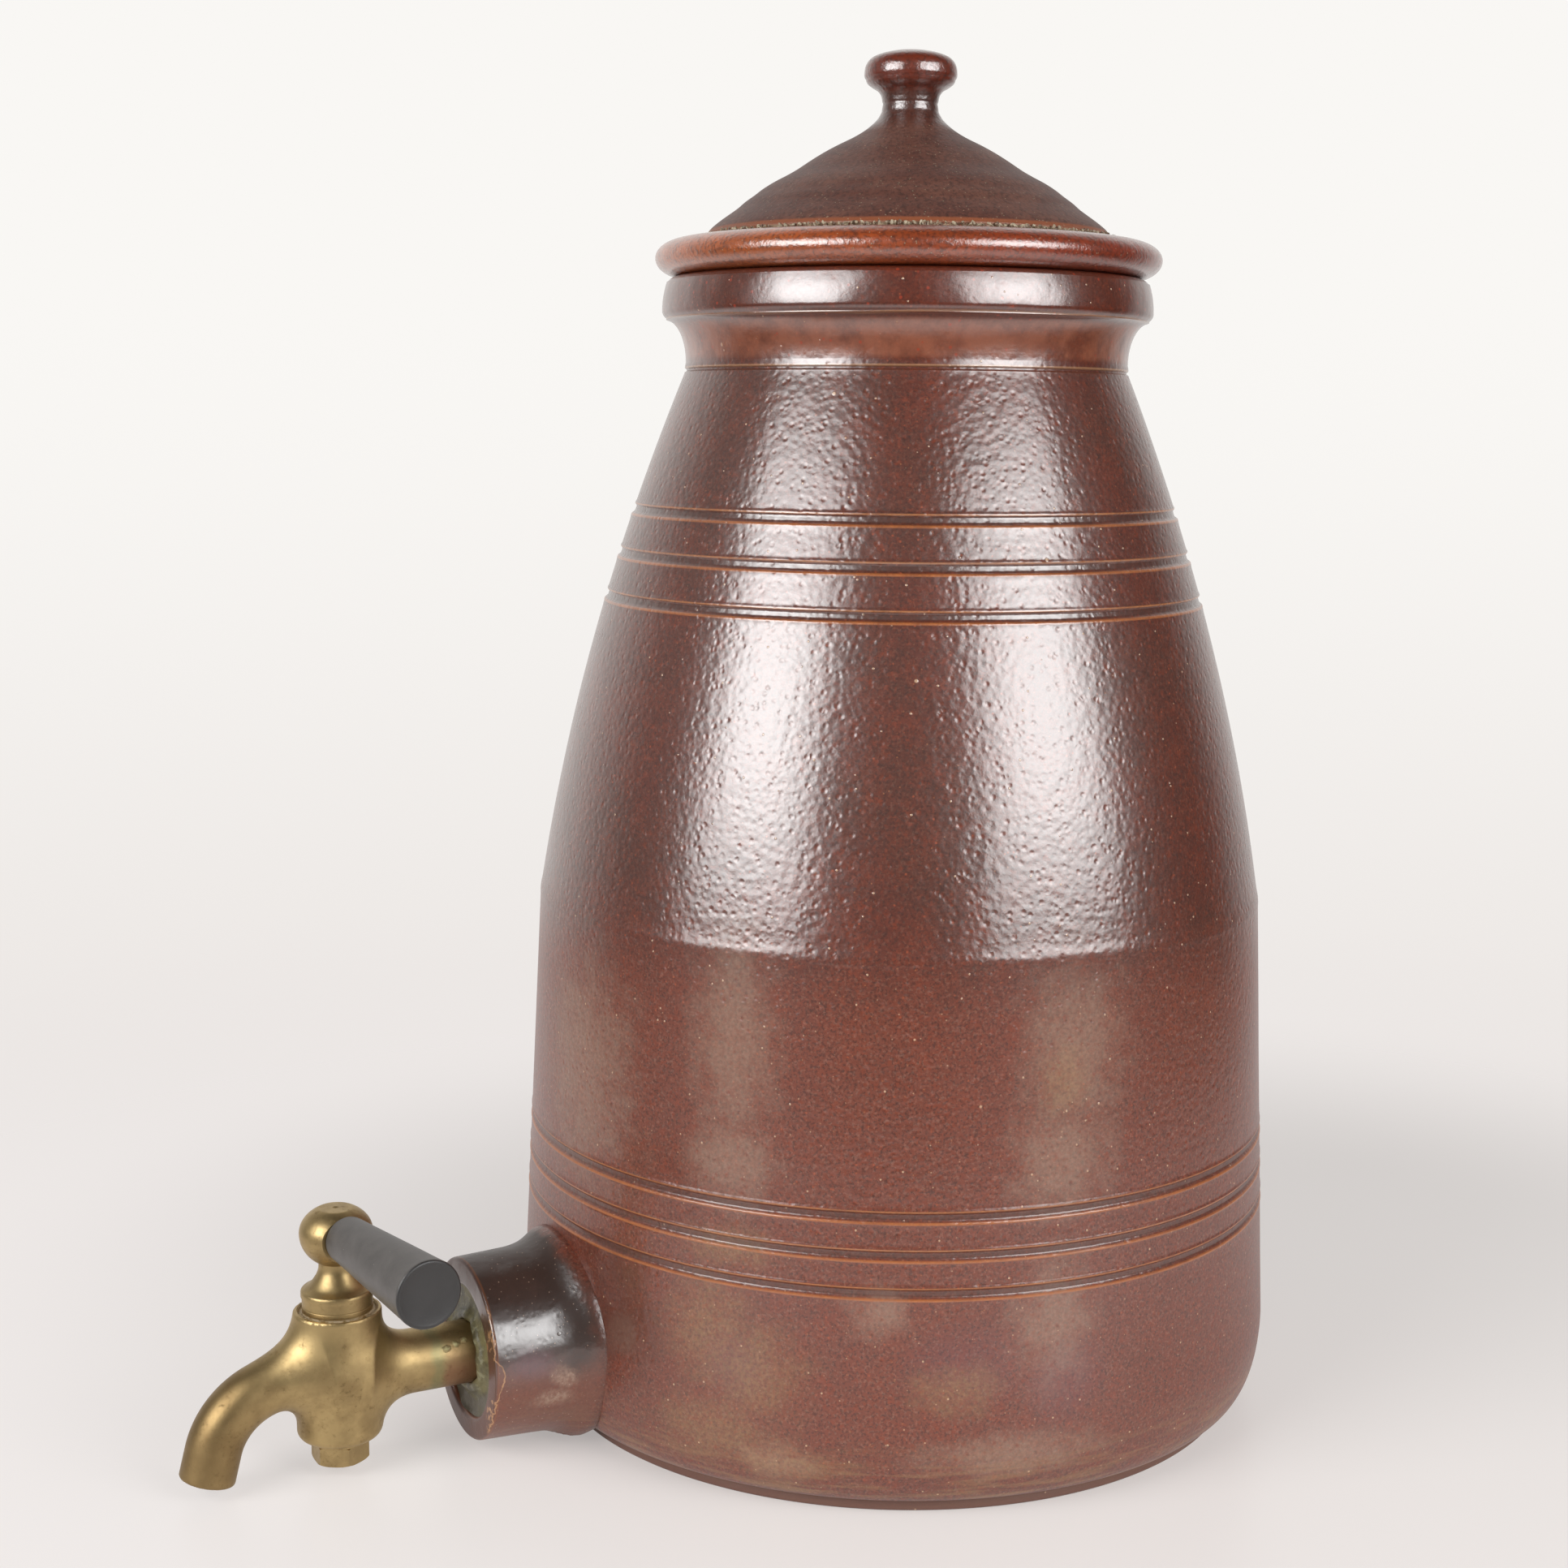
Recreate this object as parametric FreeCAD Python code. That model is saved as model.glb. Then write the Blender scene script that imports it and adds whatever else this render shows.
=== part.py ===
import FreeCAD, Part

import math
import os

# Stoneware water pot with a brass plug tap, in millimetres.
# +Z is up, the origin is the middle of the pot's foot, and the tap points along -Y.
# In every outline a point is (radius from the turning axis, place along that axis).

# Pot, from the foot up; each height below the rim is counted down from it
rim_height = 354.0
belly_radius = 121.0
belly_height = 28.0
foot_inset = 11.3
foot_height = 3.0
foot_step = 2.7
drum_top_height = 162.0
drum_taper = 6.0
shoulder_bulge = 5.4
mouth_radius = 61.0
mouth_round = 2.0
neck_wall = 8.0
neck_below_rim = 28.3
neck_band = 3.3
collar_wall = 15.5
collar_edge_below_rim = 12.5
collar_straight = 1.2
collar_round = 7.0
collar_round_width = 4.0

# Inside of the pot
wall = 9.0
floor_thickness = 10.0
floor_fillet = 14.0

# Turned grooves, each a shallow channel; the upper ones are counted down from the neck
groove_width = 2.8
groove_depth = 0.7
groove_count = 3
upper_groove_below_neck = 42.7
upper_groove_pitch = 13.3
lower_groove_height = 68.4
lower_groove_pitch = 11.0
neck_line_width = 0.9
neck_line_depth = 0.35

# Boss that holds the tap; its middle lies a little above the tap's
tap_height = 30.2
boss_height = 31.0
boss_length = 28.2
boss_face_radius = 27.7
boss_taper = 0.6
boss_face_round = 1.2
flare_rise = 3.3
flare_length = 14.0
flare_sink = 1.5
socket_radius = 20.0
socket_depth = 18.0
tail_hole_radius = 12.0

# Lid, each height counted up from the one before
flange_overhang = 2.2
flange_thickness = 11.2
flange_edge_width = 8.4
cone_inset = 16.1
cone_lift = 2.2
cone_rise = 27.2
cone_bulge = 1.5
cone_top_radius = 22.0
knob_waist_radius = 8.6
knob_waist_rise = 12.0
knob_under_rise = 5.0
knob_under_flare = 1.8
knob_radius = 14.4
knob_wide_rise = 4.4
knob_top_rise = 7.3
spigot_gap = 1.8
spigot_wall = 6.0
spigot_depth = 10.0
lid_wall = 9.0

# Tap body, its lengths counted from the boss's face and from the waterway
arm_length = 39.2
arm_radius = 9.5
arm_bore_radius = 6.0
arm_blend = 4.5
tail_stickout = 4.0
barrel_drop = 19.0
barrel_rise = 20.3
barrel_top_wall = 2.9
barrel_bottom_wall = 4.6
barrel_rim_inset = 0.1
barrel_bottom_round = 2.1
spout_height = 30.9
spout_radius = 8.2
spout_bore_radius = 5.9
spout_straight = 15.5
spout_bend_radius = 22.9
spout_bend_deg = 76.0
spout_end_length = 8.9
spout_blend = 5.5

# Plug of the tap, each height counted up from the one before
plug_fit = 0.04
plug_top_radius = 9.9
plug_bottom_radius = 8.0
plug_recess_gap = 1.5
plug_recess_depth = 2.0
band_lift = 0.7
band_step = 0.45
cap_step = 0.3
cap_rise = 5.5
plug_neck_radius = 5.35
plug_neck_rise = 7.4
head_rise = 10.6
head_radius = 10.75
head_top_half = 8.3
head_low_half = 10.2
facet_radius = 5.1
port_radius = 4.5
square_side = 7.0
square_fit = 0.1
stud_radius = 3.5
thread_fit = 0.02
stud_end = 0.5

# Washer and nut under the plug; the nut's corners lie as they were left when it was tightened
washer_radius = 8.9
washer_thickness = 1.2
washer_gap = 0.05
nut_across_flats = 15.0
nut_height = 5.9
nut_chamfer = 1.2
nut_turn_deg = 0.5

# Grip on its spindle; the shut angle is counted from the spout to the grip
shut_deg = 97.4
grip_flat = 7.5
grip_butt_radius = 6.85
grip_end_radius = 9.9
grip_length = 53.8
grip_butt_round = 0.5
grip_end_round = 0.8
spindle_radius = 2.5
spindle_in_head = 9.0
spindle_in_grip = 44.0
spindle_fit = 0.02

# Bedding compound round the tap's tail
bed_fit = 0.02
bed_below_face = 2.5
bed_bead_width = 3.1
bed_bead_rise = 1.5

# Worked out from the sizes above
Z = FreeCAD.Vector(0, 0, 1)
X = FreeCAD.Vector(1, 0, 0)
ORIGIN = FreeCAD.Vector(0, 0, 0)
foot_radius = belly_radius - foot_inset
drum_top_radius = belly_radius - drum_taper
neck_radius = mouth_radius + neck_wall
neck_height = rim_height - neck_below_rim
collar_radius = mouth_radius + collar_wall
collar_low = rim_height - collar_edge_below_rim
upper_groove_height = neck_height - upper_groove_below_neck
boss_reach = belly_radius + boss_length
boss_root_radius = boss_face_radius + boss_taper
flare_radius = boss_root_radius + flare_rise
flange_radius = collar_radius + flange_overhang
flange_flat_radius = flange_radius - flange_edge_width
flange_low = rim_height
flange_top = flange_low + flange_thickness
cone_radius = flange_radius - cone_inset
cone_base_height = flange_top + cone_lift
cone_top_height = cone_base_height + cone_rise
knob_waist_height = cone_top_height + knob_waist_rise
knob_under_height = knob_waist_height + knob_under_rise
knob_wide_height = knob_under_height + knob_wide_rise
spigot_radius = mouth_radius - spigot_gap
plug_reach = boss_reach + arm_length
tail_end = belly_radius - wall - tail_stickout
barrel_bottom = tap_height - barrel_drop
barrel_top = tap_height + barrel_rise
barrel_top_radius = plug_top_radius + barrel_top_wall
barrel_bottom_radius = plug_bottom_radius + barrel_bottom_wall
barrel_rim_radius = barrel_top_radius - barrel_rim_inset
plug_recess_radius = plug_top_radius + plug_recess_gap
plug_seat_height = barrel_top - plug_recess_depth
band_radius = plug_top_radius + band_step
cap_radius = band_radius + cap_step
cap_height = barrel_top + cap_rise
plug_neck_height = cap_height + plug_neck_rise
head_height = plug_neck_height + head_rise
washer_top = barrel_bottom - washer_gap
nut_top = washer_top - washer_thickness
nut_bottom = nut_top - nut_height


def on_plane(point):
    return FreeCAD.Vector(point[0], 0, point[1])


def outline(start, steps):
    """Closed face in the XZ plane. A step is a point, (middle, end) of an arc, or a list for a smooth curve."""
    edges = []
    last = start
    for step in steps + [start]:
        if isinstance(step, list):
            curve = Part.BSplineCurve()
            curve.interpolate([on_plane(point) for point in [last] + step])
            edges.append(curve.toShape())
            last = step[-1]
        elif isinstance(step[0], tuple):
            middle, end = step
            edges.append(Part.Arc(on_plane(last), on_plane(middle), on_plane(end)).toShape())
            last = end
        elif math.dist(last, step) > 1e-6:
            edges.append(Part.makeLine(on_plane(last), on_plane(step)))
            last = step
    return Part.Face(Part.Wire(edges))


def turned(start, steps):
    return outline(start, steps).revolve(ORIGIN, Z, 360)


def ring(inner, outer, low, high):
    return turned((inner, low), [(outer, low), (outer, high), (inner, high)])


def along_tap(shape):
    """Moves a piece turned about Z onto the tap's axis, so that its height becomes the reach along -Y."""
    shape.rotate(ORIGIN, X, 90)
    shape.translate(FreeCAD.Vector(0, 0, tap_height))
    return shape


def at_plug(shape):
    shape.translate(FreeCAD.Vector(0, -plug_reach, 0))
    return shape


def along_grip(shape):
    """Lays a piece turned about Z onto the grip's axis, its height becoming the distance from the plug's axis."""
    shape.rotate(ORIGIN, X, 90)
    shape.rotate(ORIGIN, Z, shut_deg)
    shape.translate(FreeCAD.Vector(0, -plug_reach, head_height))
    return shape


def quarter(centre, half_r, half_z, first_deg, last_deg, count=5):
    """Points on an ellipse, without the first; the angle is counted from the outward radius."""
    points = []
    for index in range(1, count + 1):
        angle = math.radians(first_deg + (last_deg - first_deg) * index / count)
        points.append((centre[0] + half_r * math.cos(angle), centre[1] + half_z * math.sin(angle)))
    return points


def bowed(first, last, bulge):
    """Middle point of a shallow arc that stands proud of its chord by bulge, on the outer side."""
    run = (last[0] - first[0], last[1] - first[1])
    length = math.hypot(*run)
    middle = ((first[0] + last[0]) / 2, (first[1] + last[1]) / 2)
    return (middle[0] + run[1] / length * bulge, middle[1] - run[0] / length * bulge)


def radius_on(first, last, height):
    share = (height - first[1]) / (last[1] - first[1])
    return first[0] + (last[0] - first[0]) * share


def shoulder_radius(height):
    """Radius of the shoulder's outer face, on the arc from the drum's top to the neck."""
    first = (drum_top_radius, drum_top_height)
    last = (neck_radius, neck_height)
    share = (height - first[1]) / (last[1] - first[1])
    return radius_on(first, last, height) + 4 * shoulder_bulge * share * (1 - share)


def pot_outside():
    foot_edge = (foot_radius + foot_step, foot_height)
    belly_centre = (foot_edge[0], belly_height)
    drum_top = (drum_top_radius, drum_top_height)
    neck = (neck_radius, neck_height)
    neck_top = (neck_radius, neck_height + neck_band)
    throat = collar_low - neck_top[1]
    flat = (collar_radius - collar_round_width, rim_height)
    round_low = (collar_radius, rim_height - collar_round)
    return turned((0, 0), [
        (foot_radius, 0),
        (foot_radius, foot_height),
        foot_edge,
        quarter(belly_centre, belly_radius - foot_edge[0], belly_height - foot_height, -90, 0),
        drum_top,
        (bowed(drum_top, neck, shoulder_bulge), neck),
        neck_top,
        quarter((collar_radius, neck_top[1]), neck_radius - collar_radius, throat, 0, 82),
        (collar_radius, collar_low + collar_straight),
        round_low,
        quarter((flat[0], round_low[1]), collar_radius - flat[0], collar_round, 0, 90),
        (0, rim_height),
    ])


def pot_inside():
    belly = (belly_radius - wall, floor_thickness + floor_fillet)
    fillet_middle = math.sqrt(0.5) * floor_fillet
    corner = (belly[0] - floor_fillet + fillet_middle, belly[1] - fillet_middle)
    drum_top = (drum_top_radius - wall, drum_top_height)
    throat = (mouth_radius, neck_height - 2)
    lip = (mouth_radius + mouth_round, rim_height)
    lip_middle = (lip[0] - math.sqrt(0.5) * mouth_round, lip[1] - (1 - math.sqrt(0.5)) * mouth_round)
    return turned((0, floor_thickness), [
        (belly[0] - floor_fillet, floor_thickness),
        (corner, belly),
        drum_top,
        (bowed(drum_top, throat, shoulder_bulge), throat),
        (mouth_radius, rim_height - mouth_round),
        (lip_middle, lip),
        (lip[0], rim_height + 1),
        (0, rim_height + 1),
    ])


def boss():
    """Round boss with a flared root; its inner end lies within the wall and its low side is cut at the foot."""
    root = belly_radius - flare_sink
    flare_end = (boss_root_radius, root + flare_length)
    face_low = (boss_face_radius, boss_reach - boss_face_round)
    body = turned((0, belly_radius - wall), [
        (flare_radius, belly_radius - wall),
        (flare_radius, root),
        quarter((flare_radius, flare_end[1]), boss_root_radius - flare_radius, root - flare_end[1], 90, 0),
        face_low,
        quarter((boss_face_radius - boss_face_round, face_low[1]), boss_face_round, boss_face_round, 0, 90),
        (0, boss_reach),
    ])
    along_tap(body)
    body.translate(FreeCAD.Vector(0, 0, boss_height - tap_height))
    keep = Part.makeBox(4 * flare_radius, boss_reach, 4 * flare_radius)
    keep.translate(FreeCAD.Vector(-2 * flare_radius, -boss_reach, foot_height))
    return body.common(keep)


def grooves():
    cuts = []
    for index in range(groove_count):
        upper = upper_groove_height - index * upper_groove_pitch
        lower = lower_groove_height + index * lower_groove_pitch
        cuts.append((shoulder_radius(upper), upper))
        cuts.append((radius_on((belly_radius, belly_height), (drum_top_radius, drum_top_height), lower), lower))
    rings = []
    for radius, height in cuts:
        slope = 0.35 if height > drum_top_height else 0.05
        low = height - groove_width / 2
        high = height + groove_width / 2
        bed = radius - groove_depth
        rings.append(turned((bed + slope * groove_width / 2, low), [
            (radius + 3, low),
            (radius + 3, high),
            (bed - slope * groove_width / 2, high),
        ]))
    rings.append(ring(neck_radius - neck_line_depth, neck_radius + 3,
                      neck_height - neck_line_width / 2, neck_height + neck_line_width / 2))
    return rings


def make_pot():
    pot = pot_outside().fuse(boss()).removeSplitter()
    pot = pot.cut(pot_inside())
    inner_end = belly_radius - wall - 2 * tail_stickout
    pot = pot.cut(along_tap(turned((0, inner_end), [
        (tail_hole_radius, inner_end),
        (tail_hole_radius, boss_reach - socket_depth),
        (socket_radius, boss_reach - socket_depth),
        (socket_radius, boss_reach + 1),
        (0, boss_reach + 1),
    ])))
    for cut in grooves():
        pot = pot.cut(cut)
    return pot


def make_bedding():
    """Stepped ring of set compound: it fills the socket and the tail hole round the tap, with a bead at the arm."""
    inner = arm_radius + bed_fit
    face = boss_reach - bed_below_face
    neck = tail_hole_radius - bed_fit
    wide = socket_radius - bed_fit
    inside = math.sqrt((belly_radius - wall) ** 2 - neck ** 2) + 1
    bead = arm_radius + bed_bead_width
    bead_middle = ((inner + bead) / 2 + bed_bead_width / 8, face + bed_bead_rise)
    return along_tap(turned((inner, inside), [
        (neck, inside),
        (neck, boss_reach - socket_depth),
        (wide, boss_reach - socket_depth),
        (wide, face + 0.5),
        (((wide + bead) / 2, face - 0.3), (bead, face)),
        (bead_middle, (inner, face + 0.7 * bed_bead_rise)),
    ]))


def make_lid():
    edge_middle = (flange_low + flange_top) / 2
    half = flange_thickness / 2
    reach = flange_radius - flange_flat_radius
    cone_base = (cone_radius, cone_base_height)
    cone_top = (cone_top_radius, cone_top_height)
    waist = (knob_waist_radius, knob_waist_height)
    under = (knob_waist_radius + knob_under_flare, knob_under_height)
    flare = (cone_top[0] - waist[0], waist[1] - cone_top[1])
    knob_top_height = knob_wide_height + knob_top_rise
    disc_edge = (knob_radius * 0.833, knob_wide_height + knob_top_rise * 0.6)
    inner_spigot = spigot_radius - spigot_wall
    dome_top = cone_top_height - lid_wall
    return turned((0, dome_top), [
        ((inner_spigot * 0.55, flange_low + (dome_top - flange_low) * 0.62), (inner_spigot, flange_low)),
        (inner_spigot, flange_low - spigot_depth),
        (spigot_radius, flange_low - spigot_depth),
        (spigot_radius, flange_low),
        (flange_flat_radius, flange_low),
        quarter((flange_flat_radius, edge_middle), reach, half, -90, 0),
        quarter((flange_flat_radius, edge_middle), reach, half, 0, 90),
        (cone_radius, flange_top),
        cone_base,
        (bowed(cone_base, cone_top, cone_bulge), cone_top),
        [
            (waist[0] + flare[0] * 0.57, waist[1] - flare[1] * 0.75),
            (waist[0] + flare[0] * 0.27, waist[1] - flare[1] * 0.51),
            (waist[0] + flare[0] * 0.08, waist[1] - flare[1] * 0.27),
            waist,
        ],
        [(waist[0] + knob_under_flare * 0.22, waist[1] + knob_under_rise * 0.5), under],
        [
            (under[0] + (knob_radius - under[0]) * 0.72, under[1] + knob_wide_rise * 0.34),
            (knob_radius, knob_wide_height),
            disc_edge,
        ],
        [(disc_edge[0] * 0.5, knob_top_height - knob_top_rise * 0.1), (0, knob_top_height)],
    ])


def barrel_radius(height):
    return radius_on((barrel_bottom_radius, barrel_bottom), (barrel_top_radius, barrel_top), height)


def plug_radius(height):
    return radius_on((plug_bottom_radius, barrel_bottom), (plug_top_radius, plug_seat_height), height)


def spout(radius, inner_end, overrun):
    """Round bar along the spout's line: level from the plug's axis, round the bend, then straight to the mouth."""
    level = Part.makeCylinder(radius, spout_straight - inner_end, ORIGIN, Z)
    level.translate(FreeCAD.Vector(0, 0, inner_end))
    along_tap(level)
    level.translate(FreeCAD.Vector(0, 0, spout_height - tap_height))
    centre = FreeCAD.Vector(0, -spout_straight, spout_height - spout_bend_radius)
    disc = Part.Face(Part.Wire(Part.makeCircle(radius, FreeCAD.Vector(0, -spout_straight, spout_height),
                                               FreeCAD.Vector(0, -1, 0))))
    bend = disc.revolve(centre, X, spout_bend_deg)
    end = Part.makeCylinder(radius, spout_end_length + overrun,
                            FreeCAD.Vector(0, -spout_straight, spout_height), FreeCAD.Vector(0, -1, 0))
    end.rotate(centre, X, spout_bend_deg)
    return at_plug(level.fuse([bend, end]))


def blended(shape, near_spout, size):
    """Rounds the line where the barrel meets the spout or the arm."""
    chosen = []
    for edge in shape.Edges:
        box = edge.BoundBox
        middle = edge.valueAt((edge.FirstParameter + edge.LastParameter) / 2)
        away = -plug_reach - middle.y
        off_axis = math.hypot(middle.x, away)
        inside = box.ZMin > tap_height - 1.3 * arm_radius and box.ZMax < tap_height + 1.3 * arm_radius
        if inside and off_axis < barrel_top_radius + 1 and (away > 0) == near_spout:
            chosen.append(edge)
    return shape.makeFillet(size, chosen)


def make_tap_body():
    bottom = (barrel_radius(barrel_bottom), barrel_bottom)
    barrel = at_plug(turned((0, barrel_bottom), [
        (bottom[0] - barrel_bottom_round, barrel_bottom),
        quarter((bottom[0] - barrel_bottom_round, barrel_bottom + barrel_bottom_round),
                barrel_bottom_round, barrel_bottom_round, -90, 0),
        (barrel_top_radius, barrel_top - 4),
        (barrel_rim_radius, barrel_top - 0.5),
        (barrel_rim_radius - 0.5, barrel_top),
        (0, barrel_top),
    ]))
    arm = along_tap(Part.makeCylinder(arm_radius, plug_reach - tail_end, FreeCAD.Vector(0, 0, tail_end), Z))
    body = barrel.fuse([arm, spout(spout_radius, 0, 0)]).removeSplitter()
    body = blended(body, True, spout_blend)
    body = blended(body, False, arm_blend)
    plug_hole = at_plug(turned((0, barrel_bottom - 1), [
        (plug_radius(barrel_bottom - 1) + plug_fit, barrel_bottom - 1),
        (plug_radius(plug_seat_height) + plug_fit, plug_seat_height),
        (plug_recess_radius, plug_seat_height),
        (plug_recess_radius, barrel_top + 1),
        (0, barrel_top + 1),
    ]))
    arm_bore = along_tap(Part.makeCylinder(arm_bore_radius, plug_reach - tail_end + 1,
                                           FreeCAD.Vector(0, 0, tail_end - 1), Z))
    return body.cut(plug_hole).cut(arm_bore).cut(spout(spout_bore_radius, 0, 1))


def make_plug():
    """Tapered key with its water port, and above it band, cap, neck and flattened ball; below, square and stud."""
    band_low = plug_seat_height + band_lift
    taper_low = barrel_bottom + 0.4
    square_low = washer_top - 0.8 * washer_thickness
    facet_height = head_height + head_top_half * math.sqrt(1 - (facet_radius / head_radius) ** 2)
    neck = (plug_neck_radius, plug_neck_height)
    join_deg = -62
    join = quarter((0, head_height), head_radius, head_low_half, 0, join_deg, 1)[0]
    facet_deg = math.degrees(math.acos(facet_radius / head_radius))
    plug = turned((0, nut_bottom - stud_end), [
        (stud_radius, nut_bottom - stud_end),
        (stud_radius, taper_low),
        (plug_radius(taper_low), taper_low),
        (plug_radius(band_low), band_low),
        (band_radius, band_low),
        (band_radius, cap_height - 1.2),
        (cap_radius, cap_height - 0.9),
        (cap_radius, cap_height),
        [
            (neck[0] + (cap_radius - neck[0]) * 0.42, cap_height + (neck[1] - cap_height) * 0.36),
            (neck[0] + (cap_radius - neck[0]) * 0.1, cap_height + (neck[1] - cap_height) * 0.7),
            neck,
            join,
        ],
        quarter((0, head_height), head_radius, head_low_half, join_deg, 0),
        quarter((0, head_height), head_radius, head_top_half, 0, facet_deg),
        (facet_radius, facet_height),
        (0, facet_height),
    ])
    square = Part.makeBox(square_side, square_side, taper_low - square_low)
    square.translate(FreeCAD.Vector(-square_side / 2, -square_side / 2, square_low))
    square.rotate(ORIGIN, Z, shut_deg)
    port = Part.makeCylinder(port_radius, 4 * plug_top_radius, FreeCAD.Vector(0, 2 * plug_top_radius, tap_height),
                             FreeCAD.Vector(0, -1, 0))
    port.rotate(ORIGIN, Z, shut_deg)
    plug = at_plug(plug.fuse(square).cut(port))
    spot_face = along_grip(Part.makeCylinder(head_radius, head_radius, FreeCAD.Vector(0, 0, grip_flat), Z))
    hole = along_grip(Part.makeCylinder(spindle_radius + spindle_fit, spindle_in_head + 1,
                                        FreeCAD.Vector(0, 0, grip_flat - spindle_in_head - 0.5), Z))
    return plug.cut(spot_face).cut(hole)


def make_grip():
    end = grip_flat + grip_length
    grip = along_grip(turned((0, grip_flat), [
        (grip_butt_radius - grip_butt_round, grip_flat),
        (grip_butt_radius, grip_flat + grip_butt_round),
        (grip_end_radius, end - grip_end_round),
        quarter((grip_end_radius - grip_end_round, end - grip_end_round), grip_end_round, grip_end_round, 0, 90, 3),
        (0, end),
    ]))
    return grip.cut(along_grip(Part.makeCylinder(spindle_radius + spindle_fit, spindle_in_grip + 0.5,
                                                 FreeCAD.Vector(0, 0, grip_flat), Z)))


def make_spindle():
    return along_grip(Part.makeCylinder(spindle_radius, spindle_in_head + spindle_in_grip,
                                        FreeCAD.Vector(0, 0, grip_flat - spindle_in_head), Z))


def make_washer():
    washer = Part.makeCylinder(washer_radius, washer_thickness, FreeCAD.Vector(0, 0, nut_top), Z)
    side = square_side + 2 * square_fit
    hole = Part.makeBox(side, side, 3 * washer_thickness)
    hole.translate(FreeCAD.Vector(-side / 2, -side / 2, nut_top - washer_thickness))
    hole.rotate(ORIGIN, Z, shut_deg)
    return at_plug(washer.cut(hole))


def make_nut():
    """Hexagon nut with its lower corners turned off and a plain hole for the stud."""
    corner = nut_across_flats / math.sqrt(3)
    points = []
    for index in range(7):
        angle = math.radians(60 * index)
        points.append(FreeCAD.Vector(corner * math.cos(angle), corner * math.sin(angle), nut_bottom))
    nut = Part.Face(Part.makePolygon(points)).extrude(FreeCAD.Vector(0, 0, nut_height))
    corners = turned((0, nut_bottom), [
        (corner - nut_chamfer, nut_bottom),
        (corner + 0.3, nut_bottom + nut_chamfer),
        (corner + 0.3, nut_top),
        (0, nut_top),
    ])
    hole = Part.makeCylinder(stud_radius + thread_fit, 3 * nut_height, FreeCAD.Vector(0, 0, nut_bottom - nut_height), Z)
    nut = nut.common(corners).cut(hole)
    nut.rotate(ORIGIN, Z, nut_turn_deg)
    return at_plug(nut)


pieces = {
    "pot_body": make_pot,
    "lid": make_lid,
    "bedding_compound": make_bedding,
    "tap_body": make_tap_body,
    "tap_plug": make_plug,
    "handle_spindle": make_spindle,
    "handle_grip": make_grip,
    "plug_washer": make_washer,
    "plug_nut": make_nut,
}

os.makedirs("parts", exist_ok=True)
for name, make in pieces.items():
    shape = make()
    print(name, "solids", len(shape.Solids), "valid", shape.isValid(), "volume", round(shape.Volume, 1))
    shape.exportStep("parts/" + name + ".step")
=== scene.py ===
import math
from functools import partial

import bmesh
import bpy
import numpy as np
from mathutils import Matrix, Vector


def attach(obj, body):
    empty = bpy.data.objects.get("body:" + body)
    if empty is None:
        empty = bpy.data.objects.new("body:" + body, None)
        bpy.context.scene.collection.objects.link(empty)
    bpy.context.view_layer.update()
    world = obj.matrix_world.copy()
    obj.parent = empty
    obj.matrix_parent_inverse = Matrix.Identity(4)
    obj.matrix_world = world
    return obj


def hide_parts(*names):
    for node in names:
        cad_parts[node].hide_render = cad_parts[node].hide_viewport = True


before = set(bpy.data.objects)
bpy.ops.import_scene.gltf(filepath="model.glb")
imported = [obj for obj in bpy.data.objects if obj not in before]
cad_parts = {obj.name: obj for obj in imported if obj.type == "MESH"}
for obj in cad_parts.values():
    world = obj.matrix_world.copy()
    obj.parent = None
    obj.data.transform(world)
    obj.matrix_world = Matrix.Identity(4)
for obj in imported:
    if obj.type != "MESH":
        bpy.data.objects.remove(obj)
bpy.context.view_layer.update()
print("frame loaded:", ", ".join(sorted(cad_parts)))

# kinds of node that come often: type, wanted output, settings
(timesNode, timesPlusNode, plusNode, minusNode, overNode, leastNode, mostNode, sizeNode, floorNode,
 moduloNode,
 roundNode, belowNode) = (("ShaderNodeMath", 0, {"operation": name}) for name in (
     "MULTIPLY", "MULTIPLY_ADD", "ADD", "SUBTRACT", "DIVIDE", "MINIMUM", "MAXIMUM", "ABSOLUTE", "FLOOR",
     "MODULO",
     "ROUND", "LESS_THAN"))
lengthNode, distanceNode, dotNode = (
    ("ShaderNodeVectorMath", "Value", {"operation": name}) for name in ("LENGTH", "DISTANCE", "DOT_PRODUCT"))
vectorTimesNode, vectorPlusNode, vectorMinusNode, directionNode, vectorScaleNode = (
    ("ShaderNodeVectorMath", 0, {"operation": name}) for name in (
        "MULTIPLY", "ADD", "SUBTRACT", "NORMALIZE", "SCALE"))
rangeNode = "ShaderNodeMapRange", 0, {}
softNode = "ShaderNodeMapRange", 0, {"interpolation_type": "SMOOTHSTEP"}
noiseNode = "ShaderNodeTexNoise", 0, {}
noise4Node = "ShaderNodeTexNoise", 0, {"noise_dimensions": "4D"}
randomNode = "FunctionNodeRandomValue", 0, {"data_type": "FLOAT_VECTOR"}
mappingNode, cellNode, splitNode = "ShaderNodeMapping", "ShaderNodeTexVoronoi", "ShaderNodeSeparateXYZ"


def linearColour(hexCode):
    # sRGB hex to linear red, green, blue, alpha
    parts = [int(hexCode[i:i + 2], 16) / 255 for i in (1, 3, 5)]
    return [p / 12.92 if p <= 0.04045 else ((p + 0.055) / 1.055) ** 2.4 for p in parts] + [1.0]


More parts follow.
